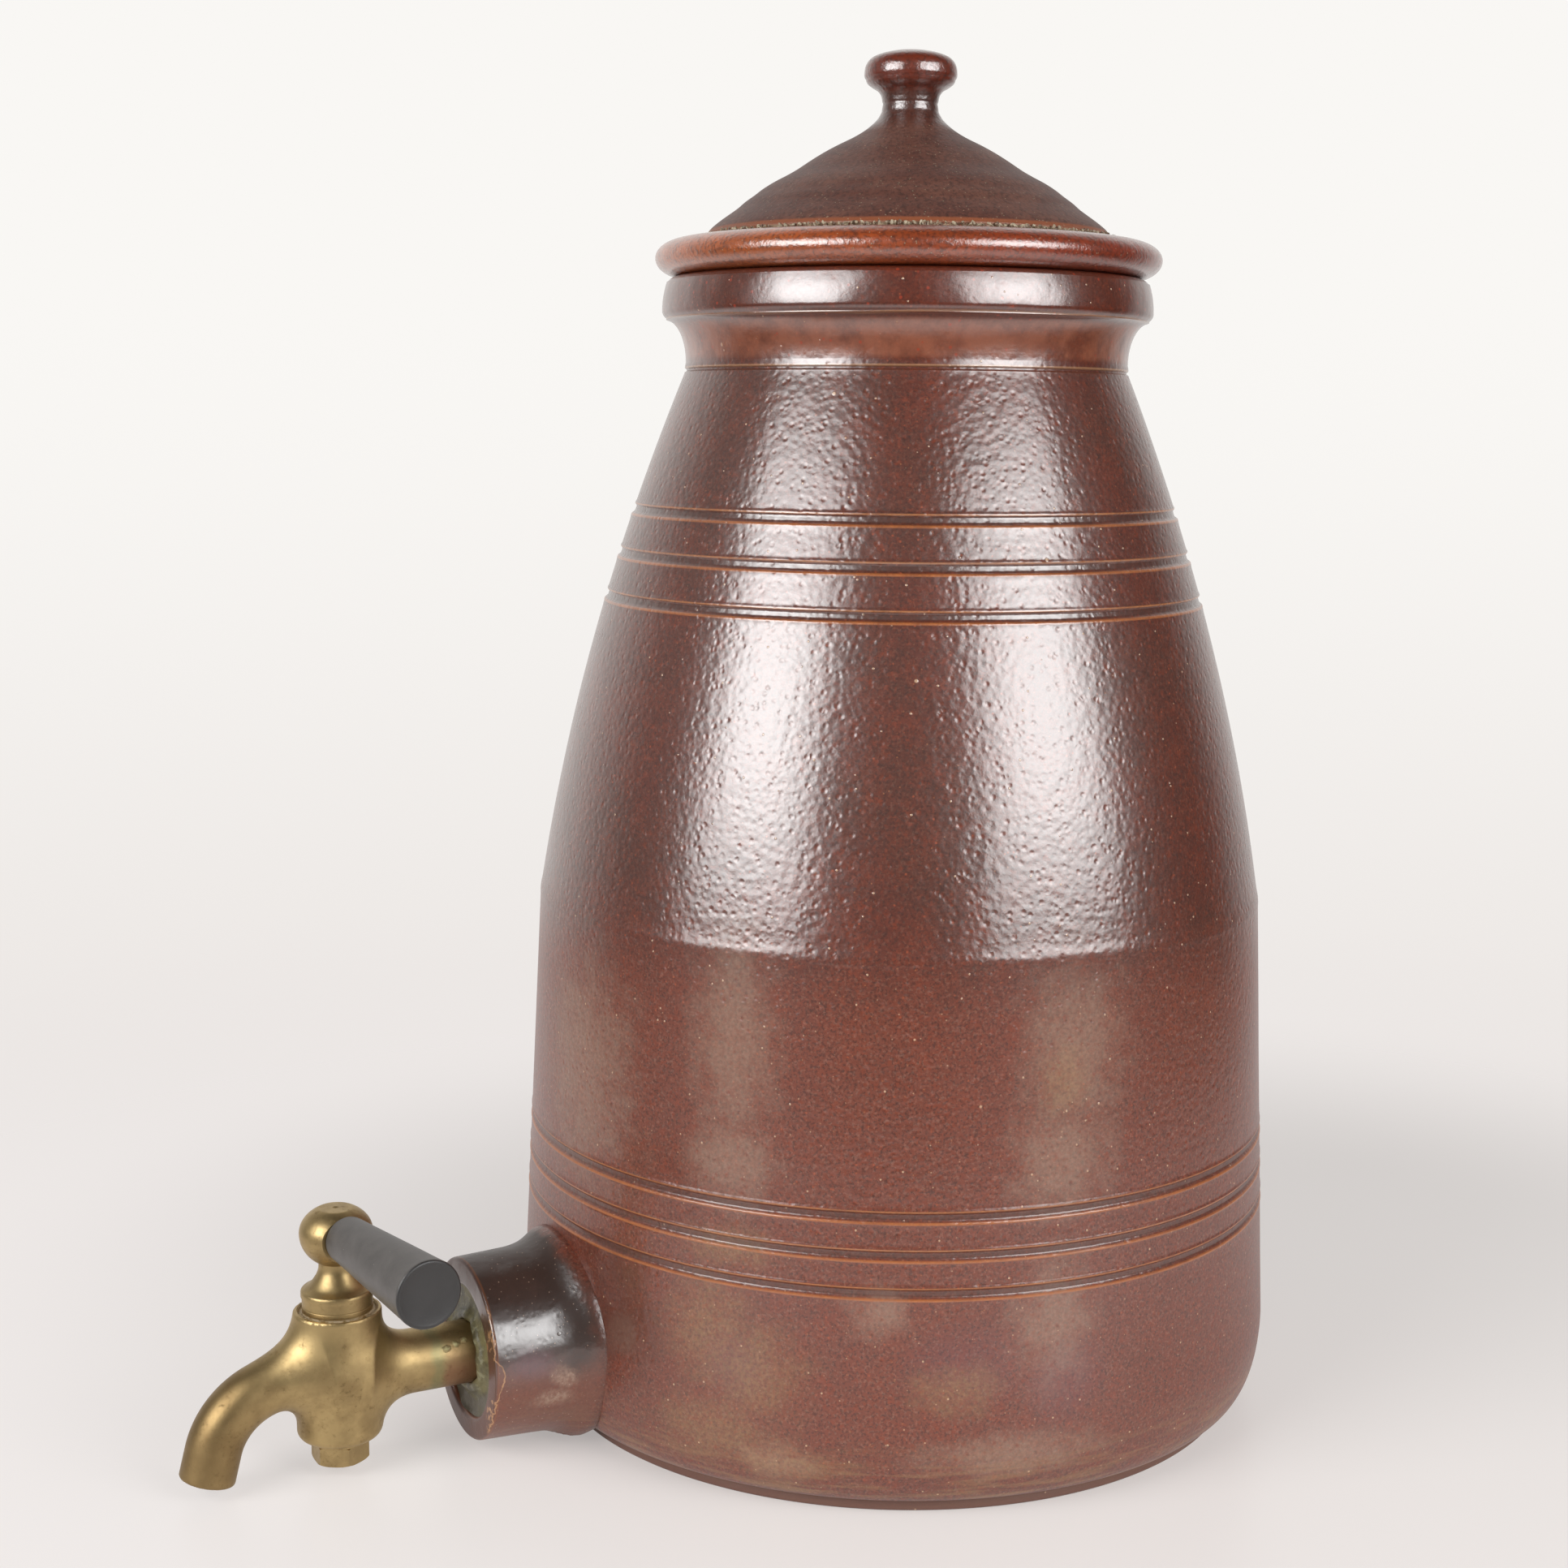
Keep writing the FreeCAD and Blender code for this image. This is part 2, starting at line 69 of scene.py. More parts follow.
def addNode(tree, kind, inputs=(), out=None, **settings):
    # inputs are named, or listed as the node's sockets are: a socket to link, a hex colour or a plain value
    name, usualOut, usual = kind if isinstance(kind, tuple) else (kind, 0, {})
    node = tree.nodes.new(name)
    for key, value in {**usual, **settings}.items():
        setattr(node, key, value)
    for key, value in inputs.items() if isinstance(inputs, dict) else enumerate(inputs):
        if isinstance(value, bpy.types.NodeSocket):
            tree.links.new(value, node.inputs[key])
        else:
            node.inputs[key].default_value = linearColour(value) if isinstance(value, str) else value
    return node.outputs[usualOut if out is None else out] if len(node.outputs) else node


def ellipsePoints(centre, halfR, halfZ, fromDeg, toDeg, count):
    points = []
    for i in range(count + 1):
        a = math.radians(fromDeg + (toDeg - fromDeg) * i / count)
        points.append((centre[0] + halfR * math.cos(a), centre[1] + halfZ * math.sin(a)))
    return points


def linePoints(first, last, count):
    return [(first[0] + (last[0] - first[0]) * i / count, first[1] + (last[1] - first[1]) * i / count)
            for i in range(count + 1)]


def smoothPoints(points, count):
    # Catmull-Rom curve through the points, count steps to each span
    ends = [points[0]] + list(points) + [points[-1]]
    curve = []
    for i in range(1, len(ends) - 2):
        p0, p1, p2, p3 = ends[i - 1:i + 3]
        for step in range(count):
            t = step / count
            curve.append(tuple(
                0.5 * (2 * b + (c - a) * t + (2 * a - 5 * b + 4 * c - d) * t * t + (3 * b - a - 3 * c + d) * t ** 3)
                for a, b, c, d in zip(p0, p1, p2, p3)))
    return curve + [tuple(points[-1])]


def joinPoints(*runs):
    # one outline from several runs, without repeated points
    outline = []
    for run in runs:
        for point in run:
            if not outline or math.dist(point, outline[-1]) > 0.004:
                outline.append(tuple(point))
    return outline


def fade(value, low, high):
    t = min(max((value - low) / (high - low), 0.0), 1.0)
    return t * t * (3 - 2 * t)


def startGroup(name, inputs):
    # gives a new node group, the function that adds a node to it, and its inputs; it gives back one geometry
    tree = bpy.data.node_groups.new(name, "GeometryNodeTree")
    for key, kind in inputs.items():
        tree.interface.new_socket(key, in_out="INPUT", socket_type="NodeSocket" + kind)
    tree.interface.new_socket("Result", in_out="OUTPUT", socket_type="NodeSocketGeometry")
    return tree, partial(addNode, tree), tree.nodes.new("NodeGroupInput").outputs


def turnedFormTree():
    # an outline turned round the Z axis, with the unevenness of thrown clay
    tree, add, given = startGroup("turnedForm", {
        "Outline": "Geometry", "Columns": "Int", "Unevenness": "Float", "Uneven Size": "Float",
        "Seed": "Float",
        "Finish": "Material"})
    rows = add("GeometryNodeAttributeDomainSize", {"Geometry": given["Outline"]}, "Point Count",
               component="MESH")
    columns = add(plusNode, [given["Columns"], 1.0])
    grid = add("GeometryNodeMeshGrid", {"Vertices X": columns, "Vertices Y": rows})
    index = add("GeometryNodeInputIndex")
    column = add(floorNode, [add(overNode, [index, rows])])
    point = add("GeometryNodeSampleIndex", {
        "Geometry": given["Outline"], "Value": add("GeometryNodeInputPosition"),
        "Index": add(moduloNode, [index, rows])}, "Value", data_type="FLOAT_VECTOR")
    angle = add(timesNode, [add(overNode, [column, given["Columns"]]), 2 * math.pi])
    place = add("ShaderNodeVectorRotate", {"Vector": point, "Angle": angle}, rotation_type="Z_AXIS")
    # the wall wanders by a fraction of a millimetre, nearly always inwards: the noise seldom passes its peak
    noisePeak = 0.72
    noise = add(noise4Node, [place, given["Seed"], given["Uneven Size"], 2.0, 0.45])
    depth = add(timesNode, [add(minusNode, [noise, noisePeak]), given["Unevenness"]])
    flat = add(vectorTimesNode, [place, (1, 1, 0)])
    offAxis = add(softNode, [add(lengthNode, [flat]), 0.0, 0.008])
    shift = add(vectorScaleNode, {0: add(directionNode, [flat]), "Scale": add(timesNode, [depth, offAxis])})
    form = add("GeometryNodeSetPosition", {"Geometry": grid, "Position": add(vectorPlusNode, [place, shift])})
    closed = add("GeometryNodeMergeByDistance", {"Geometry": form, "Distance": 0.000003})
    smooth = add("GeometryNodeSetShadeSmooth", {"Geometry": closed})
    done = add("GeometryNodeSetMaterial", {"Geometry": smooth, "Material": given["Finish"]})
    add("NodeGroupOutput", {0: done})
    return tree


turnedForm = turnedFormTree()


def sceneObject(name, data):
    item = bpy.data.objects.new(name, data)
    bpy.context.collection.objects.link(item)
    return item


def bakedObject(name, source):
    # plain mesh of an object with its modifiers applied; the source goes
    bpy.context.view_layer.update()
    evaluated = source.evaluated_get(bpy.context.evaluated_depsgraph_get())
    mesh = bpy.data.meshes.new_from_object(evaluated)
    bpy.data.objects.remove(source)
    mesh.name = name
    return sceneObject(name, mesh)


def meshFrom(work, name):
    mesh = bpy.data.meshes.new(name)
    work.to_mesh(mesh)
    work.free()
    return mesh


def grow(name, source, group, values):
    # plain mesh of what the node group makes from the source with the named values
    modifier = source.modifiers.new(name, "NODES")
    modifier.node_group = group
    for item in group.interface.items_tree:
        if item.in_out == "INPUT" and item.name in values:
            modifier[item.identifier] = values[item.name]
    return bakedObject(name, source)


def faceOutward(piece):
    work = bmesh.new()
    work.from_mesh(piece.data)
    bmesh.ops.remove_doubles(work, verts=work.verts, dist=0.000002)
    bmesh.ops.recalc_face_normals(work, faces=work.faces)
    work.to_mesh(piece.data)
    work.free()


def turned(name, outline, material, columns=160, unevenness=0.0, unevenSize=25.0, seed=1.0):
    # outline points are (radius, height) in mm, from the axis round the section and back to the axis
    mesh = bpy.data.meshes.new(name + "Outline")
    edges = [(i, i + 1) for i in range(len(outline) - 1)]
    mesh.from_pydata([(r / 1000, 0, z / 1000) for r, z in outline], edges, [])
    piece = grow(name, sceneObject(name + "Outline", mesh), turnedForm, {
        "Columns": columns, "Unevenness": unevenness / 1000, "Uneven Size": 1000 / unevenSize, "Seed": seed,
        "Finish": material})
    faceOutward(piece)
    return piece


def rod(name, radius, low, high, material, columns):
    return turned(name, [(0, low), (radius, low), (radius, high), (0, high)], material, columns)


# the settings a thrown or turned piece hands to turned()
throwing = "columns", "unevenness", "unevenSize", "seed"


def combine(piece, tool, operation):
    # Boolean of two closed meshes; the tool goes
    modifier = piece.modifiers.new(operation.lower(), "BOOLEAN")
    modifier.operation = operation
    modifier.solver = "MANIFOLD"
    modifier.object = tool
    name = piece.name
    piece.name = name + "Source"
    result = bakedObject(name, piece)
    bpy.data.objects.remove(tool)
    return result


def finishPiece(piece, material, body, nodes, sharpDeg=38):
    piece.data.materials.clear()
    piece.data.materials.append(material)
    for polygon in piece.data.polygons:
        polygon.material_index = 0
    piece.data.shade_smooth()
    piece.data.set_sharp_from_angle(angle=math.radians(sharpDeg))
    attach(piece, body)
    if nodes:
        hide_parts(*nodes)
    print(piece.name, "faces", len(piece.data.polygons))


cameraSettings = {"azimuth": 59.73, "distance": 0.7528, "height": 0.3104,
                  "yaw": -2.813, "pitch": 8.743, "roll": 0.544, "lens": 54.23}


def makeCamera(s):
    data = bpy.data.cameras.new("studioCamera")
    data.lens = s["lens"]
    data.sensor_width = 36.0
    data.clip_start = 0.02
    camera = sceneObject("studioCamera", data)
    yaw, pitch, roll = (math.radians(s[k]) for k in ("yaw", "pitch", "roll"))
    ahead = Vector((math.sin(yaw), math.cos(yaw), 0))
    right = Vector((math.cos(yaw), -math.sin(yaw), 0))
    up = Vector((0, 0, 1))
    sight = ahead * math.cos(pitch) - up * math.sin(pitch)
    lift = up * math.cos(pitch) + ahead * math.sin(pitch)
    side = right * math.cos(roll) + lift * math.sin(roll)
    top = -right * math.sin(roll) + lift * math.cos(roll)
    turn = Matrix.Rotation(math.radians(s["azimuth"]), 3, "Z")
    axes = Matrix((turn @ side, turn @ top, turn @ -sight)).transposed()
    camera.matrix_world = Matrix.Translation(turn @ Vector((0, -s["distance"], s["height"]))) @ axes.to_4x4()
    bpy.context.scene.camera = camera


makeCamera(cameraSettings)
print("camera placed")


def startMaterial(name, **constants):
    # gives the material, the function that adds a node to it, and the coordinates on the object
    material = bpy.data.materials.new(name)
    material.use_nodes = True
    material.node_tree.nodes.clear()
    add = partial(addNode, material.node_tree)
    surface = add("ShaderNodeBsdfPrincipled", {key.replace("_", " "): v for key, v in constants.items()})
    add("ShaderNodeOutputMaterial", {"Surface": surface})
    return material, add, add("ShaderNodeTexCoord", out="Object")


def finishMaterial(material, sockets, height=None, depthMm=0.0):
    # links the surface's sockets, and lays the height over it, and over its coat, as a bump of
    # the given depth
    tree = material.node_tree
    if height is not None:
        sockets["Normal"] = addNode(tree, "ShaderNodeBump", {"Height": height, "Distance": depthMm / 1000})
        if "Coat Weight" in sockets:
            sockets["Coat Normal"] = sockets["Normal"]
    for name, socket in sockets.items():
        tree.links.new(socket, tree.nodes["Principled BSDF"].inputs[name])
    return material


def paintOver(add, colour, layers):
    # each layer is (mask, strength, colour), laid over what is there
    for mask, strength, tint in layers:
        amount = add(timesNode, [mask, strength])
        colour = add("ShaderNodeMix", {0: amount, 6: colour, 7: tint}, 2, data_type="RGBA")
    return colour


def together(add, mask, *others):
    # only where every mask holds
    for other in others:
        mask = add(timesNode, [mask, other])
    return mask


def heaped(add, base, parts, **settings):
    # base with so much of each field added to it
    for field, amount in parts:
        base = add(timesPlusNode, [field, amount, base], **settings)
    return base


def lineMask(add, value, scale, at, soft, half, share=1.0, kind=softNode):
    # a line where the scaled value is at: full out to half, gone at soft
    off = add(sizeNode, [add(timesPlusNode, [value, scale, -at])])
    return add(kind, [off, soft, half, 0.0, share])


def speckMask(add, place, cellMm, radiusMm, keep, seed=0.0, core=0.5):
    # scattered round specks, at most one to a cell; keep is the share of cells that have one,
    # core the full part
    moved = add(mappingNode, {"Vector": place, "Location": (seed, seed * 0.7, seed * 0.3)})
    near = add(cellNode, {"Vector": moved, "Scale": 1000 / cellMm})
    lottery = add("ShaderNodeSeparateColor", [near.node.outputs["Color"]])
    size = add(softNode, [near, radiusMm / cellMm, radiusMm / cellMm * core])
    return together(add, size, add(belowNode, [lottery, keep]))


def patchMask(add, place, patches, wander):
    # soft patches round given points: (x, y, z, half width, half height), all in mm
    total = 0.0
    for x, y, z, wide, tall in patches:
        local = add(mappingNode, {"Vector": place, "Location": (-x / wide, -y / wide, -z / tall),
                                  "Scale": (1000 / wide, 1000 / wide, 1000 / tall)})
        away = add(timesPlusNode, [wander, 1.3, add(lengthNode, [local])])
        total = add(mostNode, [total, add(softNode, [away, 1.75, 0.75])])
    return total


glazeSettings = {
    "ior": 1.5, "coatIor": 2.0, "wideLobe": 0.5, "sharpLobe": 0.23, "drumGloss": 0.5, "footGloss": 0.32,
    "deepColour": "#5b2310", "dullColour": "#4f2718", "redColour": "#85330f", "drumColour": "#723725",
    "grainColour": "#24120c", "tanPip": "#c8a380", "fleck": "#a5653a", "dot": "#9c4826", "glintColour": "#b08a76",
    "edgeTan": "#b4723e", "edgeOrange": "#aa622e", "channel": "#40251c", "ironRed": "#9c3416",
    "rimTan": "#b4845a",
    "ochre": "#9a774c", "hazeAndReflection": "#a48874", "violet": "#6b4754", "throat": "#985a40", "collar": "#5a1e0c",
    "wallBrown": "#54240c", "bossTop": "#2a1f19", "bossLow": "#6f3d27", "bossFace": "#4e2a1e",
    "footColour": "#6a4638",
    # noises: size in mm, detail, roughness, and a seed for those in the second list
    "clouds": [(45, 3.0, 0.55), (8, 4.0, 0.62), (1.2, 2.0, 0.6)],
    "grains": [(2.1, 2.0, 0.5, 1.0), (0.8, 2.0, 0.6, 2.0), (0.9, 2.0, 0.6, 9.0), (8.5, 1.0, 0.35, 7.0),
               (3.4, 1.0, 0.4, 4.0)],
    # specks: cell and radius in mm, share of cells, seed, full part
    "specks": [(2.6, 1.1, 0.8, 0.021, 0.0), (3.4, 0.5, 0.75, 0.051, 0.2), (2.4, 0.34, 0.5, 0.031, 0.2),
               (3.2, 0.32, 0.6, 0.061, 0.2), (4.6, 0.4, 0.75), (19, 0.7, 0.6, 0.013), (3.4, 0.62, 0.6, 0.027),
               (1.5, 0.26, 0.6, 0.041, 0.3)],
    "dimpleSize": 2.1, "dimpleDepth": 0.11,
    # zones by height in m, each from where it starts to where it is full
    "drumZone": (0.176, 0.14), "throatLow": (0.3275, 0.330), "throatHigh": (0.3405, 0.339),
    "collarZone": (0.326, 0.328), "nearFoot": (0.026, 0.006), "footZone": (0.0046, 0.0041),
    # zones by depth along the tap
    "wallZone": (-0.1245, -0.1225), "tapSide": (-0.1, -0.105), "bossFront": (-0.1483, -0.149),
    "bossCorner": -0.1481,
    "bossMiddle": (0, 0, 0.031), "bossEdge": (0.0355, 0.0325),
    # first groove and pitch in mm; lines beside a groove at so many mm, with the ends of their softness
    "upperGrooves": (256.4, 13.3), "lowerGrooves": (68.4, 11.0),
    "grooveLines": [(1.6, 0.42, 0.1), (-1.7, 0.6, 0.15), (0.0, 1.25, 0.5)],
    # tan lines on throat and collar: height in mm, strength, wander
    "rimLines": [(326.4, 0.9, 0.0), (341.3, 0.6, 2.6)],
    "hazeAndReflectionPatches": [(69, -93, 138, 18, 42), (70, -94, 104, 19, 18), (14, -117, 118, 34, 44), (115, -8, 136, 22, 34),
              (116, -12, 106, 22, 22), (118, -15, 58, 17, 26), (117, -26, 20, 36, 9), (39, -113, 44, 9, 9),
              (84, -85, 16, 15, 7), (100, -62, 63, 12, 10)],
    "ochres": [(66, -100, 52, 20, 22), (79, -90, 42, 20, 20), (70, -98, 23, 26, 14), (84, -85, 16, 24, 8),
               (72, -96, 78, 20, 8), (116, -12, 128, 10, 12), (112, -43, 40, 16, 10)],
    "violets": [(74, -94, 44, 15, 14), (112, -40, 46, 20, 16), (116, -12, 40, 16, 14)],
    "wallBrowns": [(40, -112, 47, 20, 18), (36, -114, 62, 18, 10)], "marks": [(77.3, -88.9, 95.8, 0.7, 0.7)],
    "bossTans": [(27.6, -127, 29, 6, 5), (26.3, -131, 22, 8, 4)], "bossGlowPatches": [(27.6, -138, 34, 10, 6)]}


def saltGlaze(s):
    # salt-glazed stoneware: a glossy skin with a wide soft sheen under it, dimpled like orange peel,
    # iron-brown with redder spots and tan pips, hazy in columns low on the wall, where real haze and painted
    # reflections of the lights lie together
    material, add, place = startMaterial(
        "saltGlazedStoneware", IOR=s["ior"], Coat_Roughness=s["sharpLobe"], Coat_IOR=s["coatIor"])
    x, y, z = add(splitNode, [place]).node.outputs
    cloud, mottle, dapple = (
        add(noiseNode, [place, 0, 1000 / size, detail, rough]) for size, detail, rough in s["clouds"])
    spots, fine, paintedGlints, rolls, waves = (
        add(noise4Node, [place, seed, 1000 / size, detail, rough])
        for size, detail, rough, seed in s["grains"])
    # the salt leaves round dimples a few millimetres apart, redder inside
    pits, dots, flecks, drumFlecks, pips, bigPips, neckSpots, bossSpecks = (
        speckMask(add, place, *row) for row in s["specks"])
    pebble = add(cellNode, {"Vector": place, "Scale": 1000 / s["dimpleSize"], "Smoothness": 0.8},
                 feature="SMOOTH_F1")
    drum, throatLow, throatHigh = (add(softNode, [z, *s[zone]])
                                   for zone in ("drumZone", "throatLow", "throatHigh"))
    collar, nearFoot, foot = (add(rangeNode, [z, *s[zone]])
                              for zone in ("collarZone", "nearFoot", "footZone"))
    # fine pale specks, strongest on the drum, are painted glints of light on the glaze
    paintedGlints = together(add, add(softNode, [paintedGlints, 0.5, 0.68]), add(timesPlusNode, [drum, 0.09, 0.08]))
    colour = paintOver(add, s["deepColour"], [
        (add(softNode, [cloud, 0.38, 0.62]), 0.6, s["dullColour"]), (drum, 0.85, s["drumColour"]),
        (add(softNode, [mottle, 0.42, 0.62]), 0.18, s["redColour"]),
        (add(softNode, [spots, 0.54, 0.7]), 0.4, s["redColour"]), (pits, 0.35, s["redColour"]),
        (add(softNode, [fine, 0.42, 0.7]), 0.6, s["grainColour"]), (paintedGlints, 1.0, s["glintColour"]),
        (dots, 0.75, s["dot"]),
        (flecks, 0.55, s["fleck"])])
    # haze, ochre and violet bloom where the salt vapour lay thick, all low on the wall; the pale haze patches also
    # carry painted reflections of the soft boxes, in columns under the shoulder's highlights
    hazeAndReflection, ochre, wallBrown, bossTan, bossGlow = (
        patchMask(add, place, s[name], mottle)
        for name in ("hazeAndReflectionPatches", "ochres", "wallBrowns", "bossTans", "bossGlowPatches"))
    dapple = add(rangeNode, [dapple, 0.34, 0.68])
    dappled = add(timesPlusNode, [dapple, 0.7, 0.3])
    # the dimples break up the painted reflection into painted glints
    hazeAndReflection = together(add, hazeAndReflection, heaped(add, 0.6, [(dapple, 0.4), (pits, -0.5)], use_clamp=True))
    colour = paintOver(add, colour, [
        (hazeAndReflection, 0.45, s["hazeAndReflection"]), (patchMask(add, place, s["violets"], cloud), 0.22, s["violet"]),
        (together(add, ochre, dappled), 0.45, s["ochre"]), (wallBrown, 0.6, s["wallBrown"]),
        (together(add, drumFlecks, drum), 0.6, s["tanPip"]), (collar, 0.25, s["collar"])])
    # faint level lines left by the wheel near the foot, the dark unglazed foot, tan pips and one dark blister
    level = add(mappingNode, {"Vector": place, "Scale": (0.08, 0.08, 1)})
    lines = add(rangeNode, [add(noiseNode, [level, 0, 1000 / 1.8, 2.0, 0.6]), 0.45, 0.65])
    pips = add(mostNode, [pips, bigPips])
    blister = patchMask(add, place, s["marks"], 1.0)
    colour = paintOver(add, colour, [
        (together(add, lines, nearFoot), 0.45, s["ochre"]), (foot, 0.9, s["footColour"]),
        (pips, 0.75, s["tanPip"]),
        (blister, 0.8, s["grainColour"])])
    # the glaze breaks tan above and orange below each groove, and the channel between is coloured darker
    beside = [0.0, 0.0, 0.0]
    for start, pitch in (s["upperGrooves"], s["lowerGrooves"]):
        step = add(timesPlusNode, [z, 1000 / pitch, -start / pitch])
        nearest = add(leastNode, [add(mostNode, [add(roundNode, [step]), 0.0]), 2.0])
        away = add(minusNode, [step, nearest])
        beside = [add(mostNode, [old, lineMask(add, away, pitch, *line)])
                  for old, line in zip(beside, s["grooveLines"])]
    rim = 0.0
    for height, share, wander in s["rimLines"]:
        drift = add(timesPlusNode, [cloud, wander / 1000, z])
        rim = add(mostNode, [rim, lineMask(add, drift, 1000, height + wander / 2, 0.55, 0.1, share)])
    wall = add(rangeNode, [y, *s["wallZone"]])
    broken = together(add, add(rangeNode, [mottle, 0.3, 0.55, 0.6]),
                      add(rangeNode, [fine, 0.3, 0.6, 0.6]), wall)
    tan, orange, channel = (together(add, line, part) for line, part in zip(beside, (broken, broken, wall)))
    throat = together(add, throatLow, throatHigh, add(rangeNode, [mottle, 0.36, 0.6, 0.35]))
    # iron spots are thickest on the neck and the collar
    colour = paintOver(add, colour, [
        (channel, 0.55, s["channel"]), (tan, 0.85, s["edgeTan"]), (orange, 0.95, s["edgeOrange"]),
        (throat, 0.66, s["throat"]), (together(add, neckSpots, throatLow), 0.7, s["ironRed"]),
        (rim, 0.65, s["rimTan"])])
    # the boss is nearly black on top and speckled, brown below with a tan patch and with a grey-violet patch that
    # is a painted glow of the highlight below it, and the glaze has run thin and orange along the corner between
    # its side and its face
    fromBoss = add(distanceNode, [add(vectorTimesNode, [place, (1, 0, 1)]), s["bossMiddle"]])
    fromBoss = add(timesPlusNode, [mottle, 0.004, fromBoss])
    boss = together(add, add(softNode, [fromBoss, *s["bossEdge"]]), add(rangeNode, [y, *s["tapSide"]]))
    edge = add(timesPlusNode, [mottle, 0.016, z])
    face = add(rangeNode, [y, *s["bossFront"]])
    cornerAt = add(timesPlusNode, [mottle, 0.0007, y])
    colour = paintOver(add, colour, [
        (boss, 0.6, s["bossLow"]),
        (together(add, add(softNode, [edge, 0.032, 0.048]), boss), 0.9, s["bossTop"]),
        (bossGlow, 0.4, s["violet"]), (together(add, bossTan, dappled), 0.85, s["hazeAndReflection"]),
        (together(add, bossSpecks, boss), 0.85, s["hazeAndReflection"]), (face, 0.75, s["bossFace"]),
        (lineMask(add, cornerAt, 1.0, s["bossCorner"], 0.00042, 0.00015, kind=rangeNode), 0.2,
         s["edgeOrange"])])
    # a shallow flake is off the boss's edge on the east side, deepest just above the middle
    flake = add(leastNode, [add(rangeNode, [z, 0.0235, 0.031, 0.0, 0.0024]),
                            add(rangeNode, [z, 0.037, 0.033, 0.0, 0.0024])])
    flake = add(minusNode, [flake, add(timesPlusNode, [spots, 0.0022, y])])
    east = add(rangeNode, [x, 0.018, 0.020])
    chipped = add(minusNode, [together(add, add(rangeNode, [flake, 0.1477, 0.1479]), east), face],
                  use_clamp=True)
    chipEdge = together(add, lineMask(add, flake, 1.0, 0.1478, 0.00028, 0.0001, kind=rangeNode), east)
    colour = paintOver(add, colour, [(chipped, 0.5, s["bossLow"]), (chipEdge, 0.8, s["rimTan"])])
    rough = heaped(add, s["wideLobe"], [(hazeAndReflection, 0.1), (collar, -0.13), (foot, 0.3)])
    # the drum and foot are duller, the boss is not, and soot and dust dull the boss's crown
    lowGloss = add(softNode, [z, 0.03, 0.07, s["footGloss"] - 1, s["drumGloss"] - 1])
    bossGloss = add(softNode, [z, 0.022, 0.04, 0.0, 1 - s["drumGloss"]])
    sooty = together(add, add(rangeNode, [edge, 0.056, 0.066]), boss)
    clear = heaped(add, 1.0, [(drum, lowGloss), (boss, bossGloss), (sooty, -0.75)], use_clamp=True)
    # orange peel: deep on the shoulder, faint on the drum, and slow ripples instead on collar and boss
    plain = add(rangeNode, [z, 0.326, 0.33, 1.0, 0.25])
    peel = heaped(add, pebble, [(waves, 0.3), (pits, -0.75)])
    peel = together(add, peel, add(softNode, [z, 0.05, 0.17, 0.85]), plain,
                    add(timesPlusNode, [boss, -0.5, 1.0]))
    ripple = heaped(add, 3.8, [(boss, 3.4), (plain, -3.2)])
    height = heaped(add, peel, [(rolls, ripple), (pips, 0.5), (fine, 0.16), (broken, 0.12), (chipped, -1.6),
                                (blister, 2.0)])
    return finishMaterial(material, {"Base Color": colour, "Roughness": rough, "Coat Weight": clear}, height,
                          s["dimpleDepth"])


lidGlazeSettings = {
    "ior": 1.65, "coatRoughness": 0.18, "coatIor": 1.9, "coneColour": "#5a3328", "coneLight": "#6e4638",
    "flangeColour": "#b85c20", "flangeShade": "#862c0a", "flangeStreak": "#4e2718", "knobColour": "#6c260e",
    "neckColour": "#50281c", "dust": "#a3977c", "ridgeHighlight": "#8e4c28", "grainColour": "#2a1610",
    "pip": "#b48e6c",
    "shadedSide": (0.5, 0.86, 0), "grainDepth": 0.17,
    # zones by height in m, and the ridge's by its distance from the axis
    "knobZone": (0.4095, 0.4115), "neckZone": (0.3975, 0.403), "flangeZone": (0.3668, 0.366),
    "ridgeReach": (0.0614, 0.0619), "ridgeZone": (0.3664, 0.3669), "dirtReach": (0.0648, 0.0632),
    "dirtTop": (0.3671, 0.3663), "dirtFoot": (0.3640, 0.3646)}


